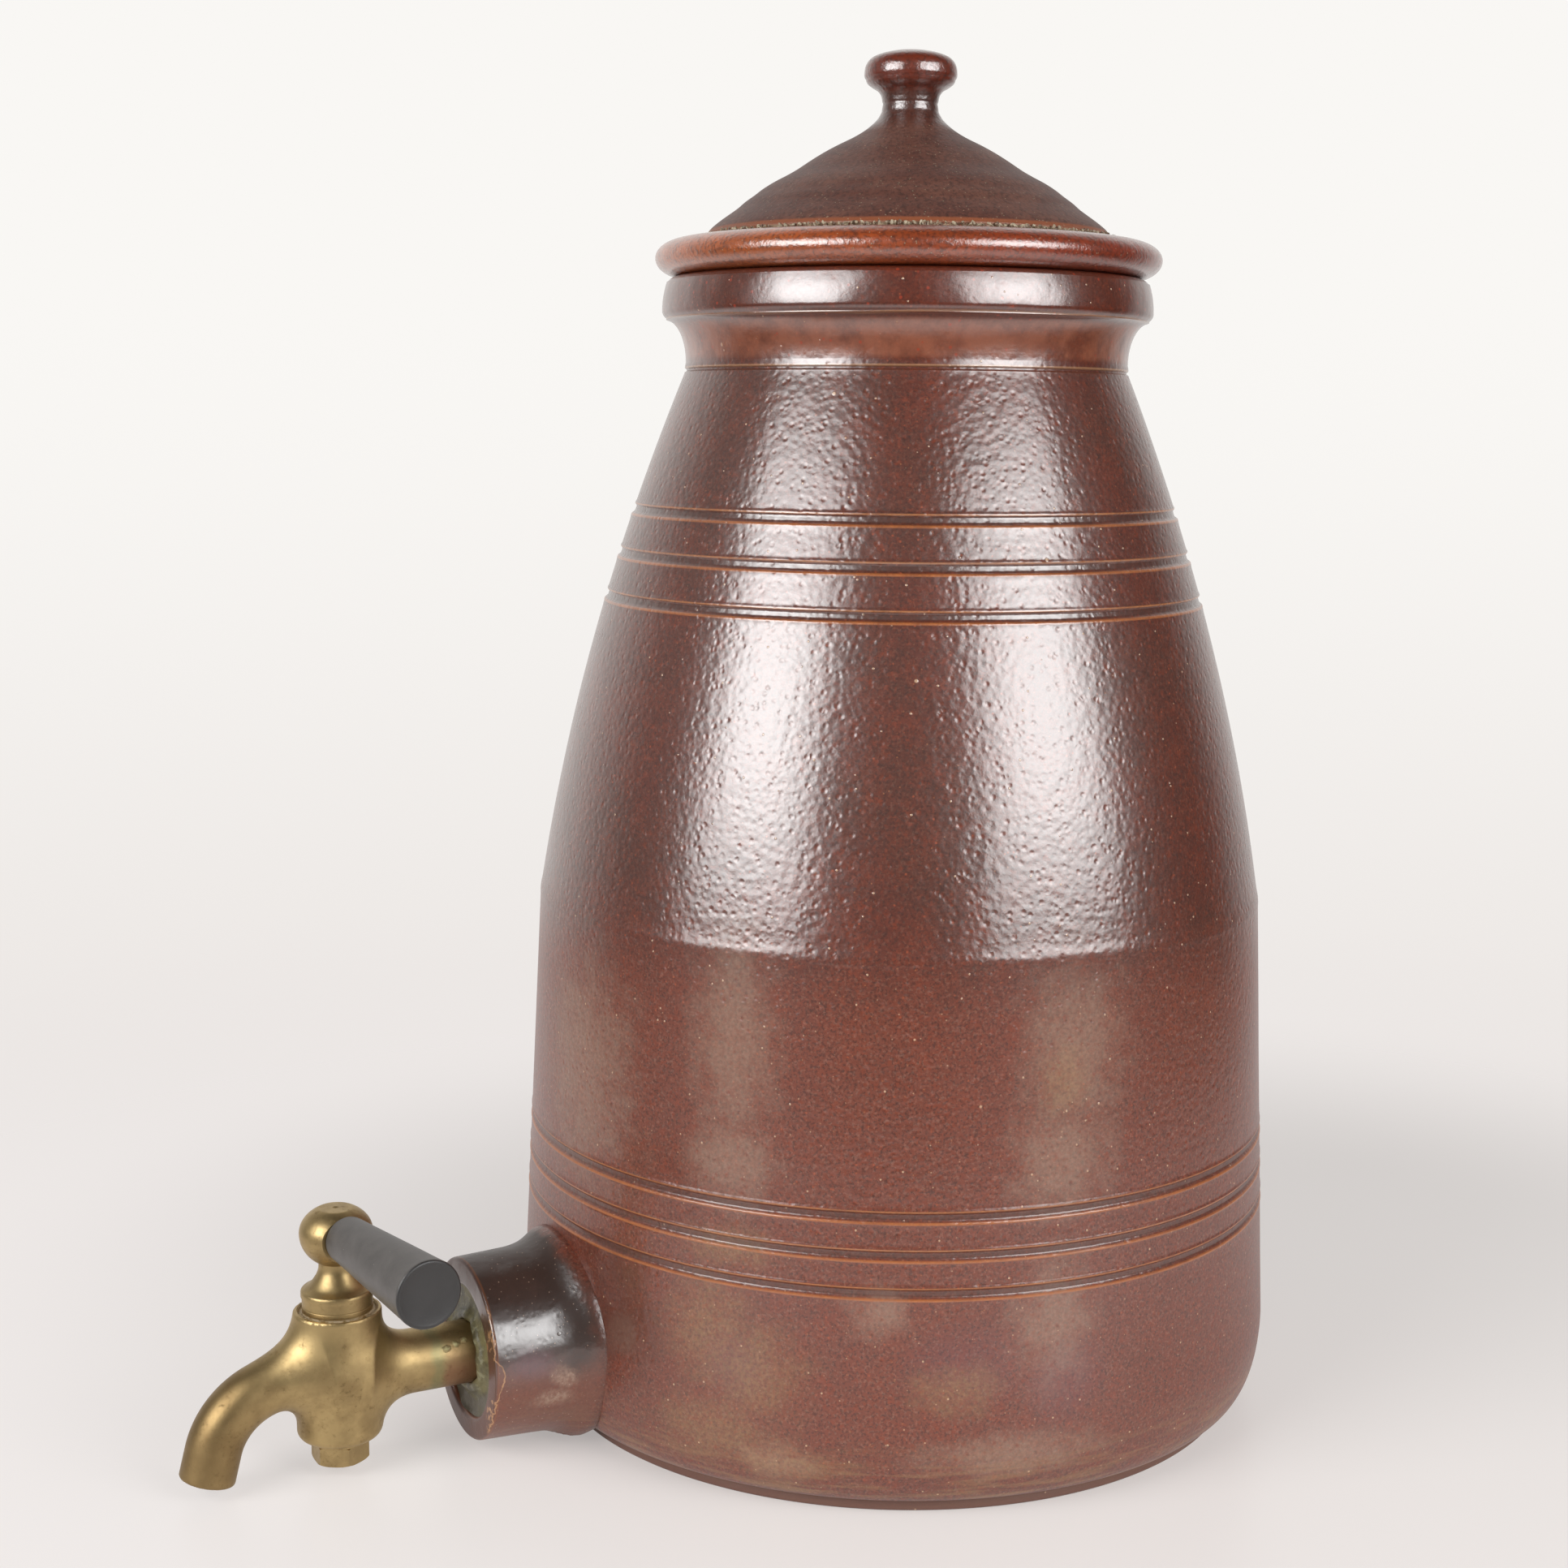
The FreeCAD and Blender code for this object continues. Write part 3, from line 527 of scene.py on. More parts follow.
def lidGlaze(s):
    # the same ware with thinner glaze: dull and dark on the cone, glossy orange-brown on the flange and knob
    material, add, place = startMaterial(
        "thinGlazedStoneware", IOR=s["ior"], Coat_Roughness=s["coatRoughness"], Coat_IOR=s["coatIor"])
    z = add(splitNode, [place], 2)
    reach = add(lengthNode, [add(vectorTimesNode, [place, (1, 1, 0)])])
    level = add(mappingNode, {"Vector": place, "Scale": (1, 1, 2.5)})
    streak = add(noiseNode, [level, 0, 1000 / 22, 4.0, 0.6])
    tone = add(noiseNode, [place, 0, 1000 / 38, 3.0, 0.5])
    grain = add(noiseNode, [place, 0, 1000 / 1.2, 3.0, 0.6])
    ripple = add(noiseNode, [place, 0, 1000 / 4.2, 2.0, 0.5])
    crust = add(noise4Node, [place, 5.0, 1000 / 1.7, 3.0, 0.7])
    streaky = add(softNode, [streak, 0.38, 0.66])
    knob, neck = (add(softNode, [z, *s[zone]]) for zone in ("knobZone", "neckZone"))
    flange, ridge, below, above = (
        add(rangeNode, [z, *s[zone]]) for zone in ("flangeZone", "ridgeZone", "dirtTop", "dirtFoot"))
    # the flange is painted orange towards the camera's left and darker towards its right, painted light and shade,
    # with some random tone
    sideShade = add(timesPlusNode, [tone, 0.12, add(dotNode, [place, s["shadedSide"]])])
    litAndShadedFlange = paintOver(add, s["flangeColour"], [
        (add(softNode, [sideShade, -0.01, 0.11]), 1.0, s["flangeShade"]), (streaky, 0.35, s["flangeStreak"])])
    pips = speckMask(add, place, 5.5, 0.32, 0.45, 0.02)
    # old dirt, with glassy crumbs of glaze, in the corner where cone and flange meet, and dust on
    # the cone's slope
    corner = add(softNode, [add(timesPlusNode, [streak, -0.004, reach]), *s["dirtReach"]])
    corner = together(add, corner, below, above, add(rangeNode, [crust, 0.34, 0.54]))
    dust = together(add, speckMask(add, place, 1.3, 0.24, 0.55, 0.05), add(minusNode, [1.0, neck]))
    # the thin orange-brown line on the ridge at the cone's foot is a painted highlight on its edge
    colour = paintOver(add, s["coneColour"], [
        (streaky, 0.7, s["coneLight"]), (neck, 1.0, s["neckColour"]), (knob, 1.0, s["knobColour"]),
        (flange, 1.0, litAndShadedFlange), (add(rangeNode, [grain, 0.44, 0.66]), 0.6, s["grainColour"]),
        (together(add, add(softNode, [reach, *s["ridgeReach"]]), ridge), 0.75, s["ridgeHighlight"]),
        (pips, 0.7, s["pip"]), (dust, 0.65, s["dust"]), (corner, 0.8, s["dust"])])
    glossy = together(add, add(mostNode, [neck, flange]), add(minusNode, [1.0, corner]))
    rough = heaped(add, 0.5, [(corner, 0.35), (glossy, -0.12)])
    height = heaped(add, ripple, [(grain, 0.85), (pips, 0.4), (corner, crust)])
    return finishMaterial(material, {"Base Color": colour, "Roughness": rough, "Coat Weight": glossy}, height,
                          s["grainDepth"])


def crumbGlaze(dark, pale):
    # broken glaze and old dirt: pale, glassy in places
    material, add, place = startMaterial("glazeCrumb", IOR=1.5, Roughness=0.4)
    tone = add(rangeNode, [add(noiseNode, [place, 0, 1000 / 1.6, 2.0, 0.6]), 0.4, 0.6])
    return finishMaterial(material, {"Base Color": paintOver(add, dark, [(tone, 1.0, pale)])})


# where the tap's pieces sit, in mm, and how far the grip is turned from the spout while the tap is shut
tapPlace = {"tapHeight": 30.2, "plugReach": 188.4, "headHeight": 74.0, "shutDeg": 97.4}

brassSettings = {
    "bright": "#b69e70", "dull": "#9e8860", "dark": "#54432b", "brown": "#78603f", "green": "#7c8866",
    "pink": "#8f6454", "dust": "#c0b29a", "lime": "#b0aa7c",
    "plugAxis": (0, -tapPlace["plugReach"] / 1000, 0),
    "limeFinger": [(7.5, -154.6, 36.0, 1.3, 1.1), (8.0, -157.6, 35.2, 1.4, 1.0),
                   (7.1, -151.8, 36.9, 1.3, 1.0)],
    # zones along the arm and the spout in m, and the dusty gap's by height and by distance from
    # the plug's axis
    "nearBoss": (-0.1575, -0.1535), "greenRing": (-0.1605, -0.1585), "spoutEnd": (-0.203, -0.218, 0.0, 0.55),
    "underside": (0.038, 0.028), "gapReach": (0.0121, 0.0116), "gapInside": (0.0101, 0.0104),
    "gapFoot": (0.0490, 0.0494), "gapTop": (0.0507, 0.0503), "skinDepth": 0.03}


def agedBrass(name, s, cast):
    # brass never polished since it was cast or turned: satin, olive with patina, golden where hands rub it
    material, add, place = startMaterial(name)
    y, z = add(splitNode, [place]).node.outputs[1:]
    cloud = add(noiseNode, [place, 0, 1000 / 14, 4.0, 0.6])
    spots = add(noiseNode, [place, 0, 1000 / 1.3, 3.0, 0.65])
    patches = add(noise4Node, [place, 3.0, 1000 / 7, 3.0, 0.6])
    skin = add(noise4Node, [place, 4.0, 1000 / 0.7, 3.0, 0.6])
    stain = together(add, add(softNode, [spots, 0.52, 0.68]), add(rangeNode, [patches, 0.42, 0.62]))
    layers = [(add(softNode, [cloud, 0.38, 0.64]), 1.0, s["dull"]),
              (add(softNode, [patches, 0.5, 0.68]), 0.28, s["brown"]), (stain, 0.22, s["dark"])]
    if cast:
        # the arm is tarnished pink, then green, where it enters the damp bedding
        along = add(timesPlusNode, [patches, 0.006, y])
        nearBoss = add(softNode, [along, *s["nearBoss"]])
        pink = together(add, nearBoss, add(softNode, [z, *s["underside"]]))
        green = add(minusNode, [add(rangeNode, [along, *s["greenRing"]]), nearBoss])
        # a dab of the bedding has dried on the arm
        lime = patchMask(add, place, s["limeFinger"], spots)
        layers += [(add(rangeNode, [along, *s["spoutEnd"]]), 1.0, s["brown"]), (pink, 0.6, s["pink"]),
                   (green, 0.4, s["green"]), (lime, 0.85, s["lime"])]
    # dust lies in the gap between barrel and cap
    reach = add(distanceNode, [add(vectorTimesNode, [place, (1, 1, 0)]), s["plugAxis"]])
    dust = together(add, *(add(rangeNode, [value, *s[zone]]) for value, zone in (
        (reach, "gapReach"), (reach, "gapInside"), (z, "gapFoot"), (z, "gapTop"))),
        add(rangeNode, [spots, 0.36, 0.52]))
    layers.append((dust, 0.9, s["dust"]))
    rough = heaped(add, 0.36 if cast else 0.34, [(cloud, 0.2), (stain, 0.2), (dust, 0.35)])
    height = add(timesPlusNode, [patches, 1.6 if cast else 0.3, skin])
    cover = dust
    if cast:
        cover = add(mostNode, [dust, lime])
        rough = add(timesPlusNode, [lime, 0.3, rough])
        height = add(timesPlusNode, [lime, 12.0, height])
    return finishMaterial(material, {
        "Base Color": paintOver(add, s["bright"], layers), "Metallic": add(minusNode, [1.0, cover]),
        "Roughness": rough}, height, s["skinDepth"])


gripSettings = {"colour": "#474340", "worn": "#686360", "endColour": "#151415", "dust": "#a19c95",
                "roughness": 0.38,
                "axisPoint": (0, -tapPlace["plugReach"] / 1000, tapPlace["headHeight"] / 1000),
                "endZone": (0.0606, 0.0609), "grainDepth": 0.03}


def blackEbonite(s):
    # hard black rubber, turned, worn to a satin and a little dusty
    material, add, place = startMaterial("turnedEbonite", IOR=1.65)
    wear = add(noiseNode, [place, 0, 1000 / 6, 4.0, 0.65])
    grain = add(noiseNode, [place, 0, 1000 / 0.8, 3.0, 0.6])
    a = math.radians(tapPlace["shutDeg"])
    local = add(vectorMinusNode, [place, s["axisPoint"]])
    along = add(dotNode, [local, (math.sin(a), -math.cos(a), 0)])
    colour = paintOver(add, s["colour"], [
        (add(rangeNode, [wear, 0.35, 0.75]), 0.6, s["worn"]),
        (speckMask(add, place, 2.0, 0.17, 0.4, 0.01), 0.6, s["dust"]),
        (add(rangeNode, [along, *s["endZone"]]), 0.85, s["endColour"])])
    rough = add(timesPlusNode, [wear, 0.18, s["roughness"]])
    return finishMaterial(material, {"Base Color": colour, "Roughness": rough}, grain, s["grainDepth"])


puttySettings = {"dark": "#4c4733", "mid": "#77704e", "pale": "#a8a688", "rimGlaze": "#5d5547",
                 "tapAxis": (0, 0, tapPlace["tapHeight"] / 1000), "outerZone": (0.0142, 0.0156),
                 "lowZone": (0.030, 0.022), "lumpDepth": 0.3}


def setPutty(s):
    # litharge putty set hard long ago: olive, matt, stained pale by hard water
    material, add, place = startMaterial("setPutty", IOR=1.5)
    cloud = add(noiseNode, [place, 0, 1000 / 8, 4.0, 0.65])
    lumps = add(noise4Node, [place, 2.0, 1000 / 2.2, 4.0, 0.65])
    # the outer part of the low side is smoother and greyer, washed by drips
    reach = add(distanceNode, [add(vectorTimesNode, [place, (1, 0, 1)]), s["tapAxis"]])
    washed = together(add, add(rangeNode, [reach, *s["outerZone"]]),
                      add(rangeNode, [add(splitNode, [place], 2), *s["lowZone"]]))
    colour = paintOver(add, s["dark"], [
        (add(softNode, [cloud, 0.35, 0.6]), 1.0, s["mid"]),
        (add(softNode, [lumps, 0.52, 0.68]), 0.5, s["pale"]),
        (washed, 0.75, s["rimGlaze"])])
    rough = add(rangeNode, [cloud, 0.3, 0.7, 0.3, 0.55])
    return finishMaterial(material, {"Base Color": colour, "Roughness": rough}, lumps, s["lumpDepth"])


def turnedSteel(pale, dark):
    # plain turned steel rod, bright, with the lathe's fine lines across it
    material, add, place = startMaterial("turnedSteel", Metallic=1.0)
    across = add(mappingNode, {"Vector": place, "Scale": (8, 1, 1)})
    lines = add(noiseNode, [across, 0, 1000 / 2])
    rough = add(rangeNode, [lines, 0.3, 0.7, 0.25, 0.4])
    return finishMaterial(material, {"Base Color": paintOver(add, pale, [(lines, 1.0, dark)]),
                                     "Roughness": rough})


saltGlazed = saltGlaze(glazeSettings)
lidGlazed = lidGlaze(lidGlazeSettings)
crumbGlazed = crumbGlaze("#5c4434", "#ab9d85")
castBrass = agedBrass("agedCastBrass", brassSettings, True)
turnedBrass = agedBrass("agedTurnedBrass", brassSettings, False)
ebonite = blackEbonite(gripSettings)
putty = setPutty(puttySettings)
steel = turnedSteel("#b4b4b6", "#98989b")
print("materials made")

potSettings = {
    "rimHeight": 354.0, "bellyRadius": 120.9, "bellyHeight": 28.0, "footRadius": 111.0, "footHeight": 4.3,
    "drumTop": 162.0, "drumTopRadius": 114.9, "shoulderBulge": 5.4, "neckRadius": 69.0, "neckHeight": 325.7,
    "collarRadius": 76.4, "collarLow": 341.5, "mouthRadius": 61.0, "wall": 9.0, "floor": 10.0,
    # grooves: where their sides start and end, and the ridge beside each; then the lip above the drum's top
    "grooves": [256.4, 269.7, 283.0, 68.4, 79.4, 90.4], "grooveDepth": 0.62, "grooveSide": (0.65, 1.65),
    "ridgeRise": 0.2, "ridgeAway": 1.8, "ridgeWidth": 0.5, "lipRise": 0.16, "lipAbove": 1.5, "lipWidth": 1.8,
    "columns": 240, "unevenness": 0.34, "unevenSize": 42.0, "seed": 3.0}


def wallRadius(s, z):
    # outer radius of drum and shoulder, without grooves
    if z <= s["drumTop"]:
        return s["bellyRadius"] + (s["drumTopRadius"] - s["bellyRadius"]) * (z - s["bellyHeight"]) / (
            s["drumTop"] - s["bellyHeight"])
    t = (z - s["drumTop"]) / (s["neckHeight"] - s["drumTop"])
    chord = s["drumTopRadius"] + (s["neckRadius"] - s["drumTopRadius"]) * t
    return chord + 4 * s["shoulderBulge"] * t * (1 - t)


def grooveOffset(s, z):
    offset = 0.0
    for centre in s["grooves"]:
        away = abs(z - centre)
        offset -= s["grooveDepth"] * (1 - fade(away, *s["grooveSide"]))
        offset += s["ridgeRise"] * math.exp(-((away - s["ridgeAway"]) / s["ridgeWidth"]) ** 2)
    # the glaze gathers in a slight lip where drum and shoulder meet
    return offset + s["lipRise"] * math.exp(-((z - s["drumTop"] - s["lipAbove"]) / s["lipWidth"]) ** 2)


def potOutline(s):
    foot = (s["footRadius"] + 1.6, s["footHeight"])
    heights = set()
    z = s["bellyHeight"]
    while z < s["neckHeight"] - 1.2:
        near = min(abs(z - c) for c in s["grooves"] + [s["drumTop"] + 1])
        z += 0.32 if near < 3.2 else 5.0 if near > 9 else 1.6
        heights.add(round(min(z, s["neckHeight"] - 1.2), 3))
    wall = [(wallRadius(s, z) + grooveOffset(s, z), z) for z in sorted(heights)]
    neck, low = s["neckHeight"], s["collarLow"]
    throat = ellipsePoints((s["collarRadius"] - 0.9, neck + 2.6), s["neckRadius"] - s["collarRadius"] + 0.9,
                           low - neck - 3.0, 0, 84, 14)
    # the collar's face leans back in one long arc before it turns over at the rim
    lean = [math.radians(a) for a in (3, 6, 9, 12, 15, 18)]
    face = [(s["collarRadius"] - 28 * (1 - math.cos(a)), low + 2.3 + 28 * math.sin(a)) for a in lean]
    outside = joinPoints(
        [(0, 0), (60, 0), (s["footRadius"] - 1.2, 0)],
        ellipsePoints((s["footRadius"] - 1.2, 1.2), 1.2, 1.2, -90, 0, 4),
        [(s["footRadius"], s["footHeight"] - 0.3), (s["footRadius"] + 0.5, s["footHeight"]), foot],
        ellipsePoints((foot[0], s["bellyHeight"]), s["bellyRadius"] - foot[0], s["bellyHeight"] - foot[1],
                      -88, 0, 18),
        wall,
        [(s["neckRadius"] + 0.35, neck - 0.7), (s["neckRadius"] - 0.3, neck - 0.2),
         (s["neckRadius"] - 0.3, neck + 0.2),
         (s["neckRadius"] + 0.25, neck + 0.7), (s["neckRadius"] + 0.2, neck + 1.3),
         (s["neckRadius"], neck + 2.4)],
        throat,
        [(s["collarRadius"] - 1.25, low - 0.35), (s["collarRadius"] - 1.3, low - 0.1)],
        ellipsePoints((s["collarRadius"] - 2.4, low + 2.3), 2.4, 2.5, -55, 0, 7), face,
        ellipsePoints((face[-1][0] - 3.1, s["rimHeight"] - 2.7), 3.1, 2.7, 12, 90, 8),
        [(68, s["rimHeight"]), (s["mouthRadius"] + 2, s["rimHeight"])])
    top = (s["mouthRadius"] + 2, s["rimHeight"] - 2)
    inner = dict(s, bellyRadius=s["bellyRadius"] - s["wall"], drumTopRadius=s["drumTopRadius"] - s["wall"],
                 neckRadius=s["mouthRadius"], neckHeight=s["neckHeight"] - 2)
    inside = joinPoints(
        ellipsePoints(top, -2, 2, 90, 0, 5),
        [(s["mouthRadius"], 340), (s["mouthRadius"], inner["neckHeight"])],
        [(wallRadius(inner, z), z)
         for z in (315, 300, 280, 260, 240, 220, 200, 180, 163, 130, 100, 70, 40, 24)],
        ellipsePoints((inner["bellyRadius"] - 14, s["floor"] + 14), 14, 14, 0, -90, 8),
        [(60, s["floor"]), (0, s["floor"])])
    return joinPoints(outside, inside)


bossSettings = {
    **tapPlace, "middle": 31.0, "reach": 149.2, "faceRadius": 27.6, "socketRadius": 20.0, "socketDepth": 18.0,
    "holeRadius": 12.0, "wallReach": 120.9,
    "flare": [(32.3, 117.6), (32.5, 118.8), (32.5, 120.2), (32.2, 121.5), (31.6, 122.8), (30.7, 124.1),
              (29.8, 125.5),
              (29.0, 127.3), (28.5, 129.6), (28.2, 132.5)],
    # where the outside's own middle takes over, where the skirt ends along the tap, how much
    # higher the skirt is,
    # and how the lowest part flattens: from this height, down to this one, over this length
    "middleZone": (20.6, 23.5), "skirtZone": (122.5, 133), "skirtRise": 0.6, "flatFrom": 3.4, "flatTo": 3.05,
    "flatRun": 0.8, "columns": 128, "unevenness": 0.3, "unevenSize": 20.0, "seed": 5.0}


def ontoTapAxis(piece):
    # height becomes the reach along -Y
    piece.data.transform(
        Matrix.Translation((0, 0, tapPlace["tapHeight"] / 1000)) @ Matrix.Rotation(math.radians(90), 4, "X"))


def makeBoss(s):
    face = s["reach"]
    outline = joinPoints(
        [(0, 113), (29.0, 113), (31.8, 115.5)], smoothPoints(s["flare"], 3),
        linePoints(s["flare"][-1], (s["faceRadius"], face - 1.1), 5),
        ellipsePoints((s["faceRadius"] - 1.1, face - 1.1), 1.1, 1.1, 0, 90, 6),
        [(22.4, face)],
        ellipsePoints((21.5, face - 1.5), 1.5, -1.5, -90, -180, 6),
        linePoints((s["socketRadius"], face - 2.5), (s["socketRadius"], face - s["socketDepth"]), 3),
        [(s["holeRadius"], face - s["socketDepth"]), (s["holeRadius"], 117), (0, 117)])
    boss = turned("boss", outline, saltGlazed, *(s[key] for key in throwing))
    ontoTapAxis(boss)
    for vertex in boss.data.vertices:
        # the outside has its own middle, a little above the socket's, and is pressed flat just
        # above the table
        across, up = vertex.co.x * 1000, vertex.co.z * 1000 - s["tapHeight"]
        up += (s["middle"] - s["tapHeight"]) * fade(math.hypot(across, up), *s["middleZone"])
        onSkirt = 1 - fade(-vertex.co.y * 1000, *s["skirtZone"])
        low = up + s["skirtRise"] * onSkirt + s["tapHeight"]
        if low < s["flatFrom"]:
            low = s["flatTo"] + (s["flatFrom"] - s["flatTo"]) * math.exp((low - s["flatFrom"]) / s["flatRun"])
        vertex.co.z = low / 1000
        # the skirt's lip follows the wall's curve
        drop = s["wallReach"] - math.sqrt(s["wallReach"] ** 2 - across ** 2)
        vertex.co.y += drop * onSkirt / 1000
    return boss


def makePot():
    pot = turned("stonewarePot", potOutline(potSettings), saltGlazed, *(potSettings[key] for key in throwing))
    pot = combine(pot, makeBoss(bossSettings), "UNION")
    hole = rod("tailHole", bossSettings["holeRadius"], 100, 125, saltGlazed, 64)
    ontoTapAxis(hole)
    pot = combine(pot, hole, "DIFFERENCE")
    finishPiece(pot, saltGlazed, "pot", ["pot_body"], 34)


makePot()
print("pot made")

lidSettings = {
    "columns": 224, "unevenness": 0.3, "unevenSize": 30.0, "seed": 8.0,
    "cone": [(62.4, 367.4), (61.2, 368.9), (58.9, 370.8), (56.1, 372.8), (53.3, 374.8), (51.0, 376.8),
             (48.2, 378.8),
             (45.6, 380.8), (42.4, 382.8), (38.6, 384.8), (35.3, 386.7), (32.3, 388.7), (29.2, 390.7),
             (25.8, 392.7),
             (22.2, 394.6), (18.1, 396.6), (14.7, 398.6), (12.2, 400.5), (10.2, 402.5), (9.05, 404.4)],
    "neck": [(8.62, 406.6), (8.75, 408.0), (9.0, 409.3), (9.43, 410.2), (10.3, 411.2), (12.0, 412.2),
             (13.3, 413.2),
             (13.9, 414.2), (14.35, 415.4), (14.35, 416.6), (14.15, 418.0), (13.7, 419.1), (13.0, 420.1),
             (11.7, 421.1), (9.4, 422.0), (6.0, 422.8), (3.0, 423.15), (0, 423.25)],
    # fine turned lines round the neck and under the knob's widest part: height and depth
    "lines": [(405.0, 0.14), (407.2, 0.12), (414.4, 0.16)], "lineWidth": 0.35}


crumbSettings = {"Count": 400, "Ring Radius": 0.0632, "Height": 0.36635, "Spread": 0.0011, "Size": 0.0009,
                 "Seed": 4}


def crumbTree():
    # a ring of rough crumbs, each turned and sized at random
    tree, add, given = startGroup("crumbRing", {
        "Base": "Geometry", "Count": "Int", "Ring Radius": "Float", "Height": "Float", "Spread": "Float",
        "Size": "Float", "Seed": "Int", "Finish": "Material"})
    ring = add("GeometryNodeMeshCircle", {"Vertices": given["Count"], "Radius": given["Ring Radius"]})
    low, high = (add(vectorScaleNode, {0: end, "Scale": given["Spread"]})
                 for end in ((-1, -1, -0.3), (1, 1, 0.3)))
    stray = add(randomNode, {0: low, 1: high, "Seed": given["Seed"]})
    lift = add("ShaderNodeCombineXYZ", {"Z": given["Height"]})
    points = add("GeometryNodeSetPosition", {"Geometry": ring, "Offset": add(vectorPlusNode, [stray, lift])})
    crumb = add("GeometryNodeMeshIcoSphere", {"Radius": 1.0, "Subdivisions": 2})
    rough = add(noiseNode, {"Scale": 1.4, "Detail": 2.0}, 1)
    dent = add(vectorMinusNode, [rough, (0.5, 0.5, 0.5)])
    crumb = add("GeometryNodeSetPosition", {"Geometry": crumb, "Offset": dent})
    turn = add(randomNode, {0: (0, 0, 0), 1: (6.28, 6.28, 6.28), "Seed": given["Seed"]})
    share = add(randomNode, {0: (0.2, 0.2, 0.15), 1: (1.1, 1.1, 0.6), "Seed": given["Seed"]})
    size = add(vectorScaleNode, {0: share, "Scale": given["Size"]})
    placed = add("GeometryNodeInstanceOnPoints", {"Points": points, "Instance": crumb, "Rotation": turn,
                                                  "Scale": size})
    real = add("GeometryNodeRealizeInstances", {"Geometry": placed})
    done = add("GeometryNodeSetMaterial", {"Geometry": real, "Material": given["Finish"]})
    add("NodeGroupOutput", {0: done})
    return tree


def makeCrumbs(s):
    source = sceneObject("crumbSource", bpy.data.meshes.new("crumbSource"))
    crumbs = grow("glazeCrumbs", source, crumbTree(), dict(s, Finish=crumbGlazed))
    finishPiece(crumbs, crumbGlazed, "lid", [], 60)


def makeLid(s):
    edge = ellipsePoints((70.2, 359.7), 8.4, 5.6, -90, 90, 30)
    cone = smoothPoints(s["cone"], 3)
    neck = smoothPoints([s["cone"][-1]] + s["neck"], 4)
    upper = []
    for r, z in joinPoints(cone, neck):
        for height, depth in s["lines"]:
            r -= depth * math.exp(-((z - height) / s["lineWidth"]) ** 2) if r > 1 else 0
        upper.append((r, z))
    outline = joinPoints(
        [(0, 385.6)], ellipsePoints((0, 354), 53.2, 31.6, 88, 0, 14),
        [(53.2, 344.4), (53.6, 344.0), (58.7, 344.0), (59.2, 344.5), (59.2, 354.0)],
        linePoints((59.6, 354.05), (70.2, 354.1), 4), edge,
        linePoints((69.0, 365.3), (64.2, 365.15), 3),
        [(63.2, 365.0), (62.5, 365.3), (62.35, 366.1), (62.75, 366.8), (62.75, 367.15)],
        upper)
    lid = turned("pottedLid", outline, lidGlazed, *(s[key] for key in throwing))
    finishPiece(lid, lidGlazed, "lid", ["lid"], 34)


makeLid(lidSettings)
makeCrumbs(crumbSettings)
print("lid made")

tapSettings = {
    **tapPlace, "tailEnd": 108.0, "armRadius": 9.5, "armBore": 6.0,
    "barrelLow": 11.2, "barrelHigh": 50.4, "barrelLowRadius": 12.5, "barrelHighRadius": 12.75,
    "spoutHeight": 30.9, "spoutRadius": 8.2, "spoutBore": 5.9, "straight": 15.5, "bendRadius": 22.9,
    "bendDeg": 76.0,
    "endLength": 8.8, "blendAbove": 15.0, "blendBelow": 7.5, "blendZone": (22, 34), "armBlend": 10.0,
    "voxel": 0.6,
    # roundings: barrel below and above its middle, tail, spout
    "lowRound": 2.7, "highRound": 0.35, "tailRound": 0.7, "spoutRound": 0.8}


def ontoPlugAxis(piece, height=0.0, turnDeg=0.0, tipDeg=0.0):
    # tipped from upright towards the spout, turned, and moved onto the plug's axis
    turn = Matrix.Rotation(math.radians(turnDeg), 4, "Z") @ Matrix.Rotation(math.radians(tipDeg), 4, "X")
    piece.data.transform(Matrix.Translation((0, -tapPlace["plugReach"] / 1000, height / 1000)) @ turn)


def spoutPath(s, count=18, extra=0.0):
    # (reach, height) along the spout's line
    points = [(s["plugReach"], s["spoutHeight"]), (s["plugReach"] + s["straight"], s["spoutHeight"])]
    centre = (s["plugReach"] + s["straight"], s["spoutHeight"] - s["bendRadius"])
    for i in range(1, count + 1):
        a = math.radians(90 - s["bendDeg"] * i / count)
        points.append((centre[0] + s["bendRadius"] * math.cos(a), centre[1] + s["bendRadius"] * math.sin(a)))
    a = math.radians(s["bendDeg"])
    last = points[-1]
    points.append((last[0] + (s["endLength"] + extra) * math.cos(a),
                   last[1] - (s["endLength"] + extra) * math.sin(a)))
    return points


def tube(name, path, radius, sides=40):
    # closed round bar through points (reach, height) in mm on the plane x = 0
    work = bmesh.new()
    rings = []
    for i, point in enumerate(path):
        before, after = path[max(i - 1, 0)], path[min(i + 1, len(path) - 1)]
        ahead = Vector((0, -(after[0] - before[0]), after[1] - before[1])).normalized()
        over = Vector((1, 0, 0)).cross(ahead)
        centre = Vector((0, -point[0], point[1]))
        ring = []
        for k in range(sides):
            a = 2 * math.pi * k / sides
            out = Vector((1, 0, 0)) * math.cos(a) + over * math.sin(a)
            ring.append(work.verts.new((centre + out * radius) / 1000))
        rings.append(ring)
    for first, second in zip(rings, rings[1:]):
        for k in range(sides):
            work.faces.new((first[k], first[(k + 1) % sides], second[(k + 1) % sides], second[k]))
    work.faces.new(rings[0])
    work.faces.new(rings[-1])
    bmesh.ops.recalc_face_normals(work, faces=work.faces)
    return sceneObject(name, meshFrom(work, name))


def cappedDistance(radial, along, rounding):
    # distance to a rounded end: radial is past the side, along is past the end
    a, b = radial + rounding, along + rounding
    return np.hypot(np.maximum(a, 0), np.maximum(b, 0)) + np.minimum(np.maximum(a, b), 0) - rounding


def melted(first, second, width):
    near = np.maximum(width - np.abs(first - second), 0) / width
    return np.minimum(first, second) - near ** 2 * width / 4


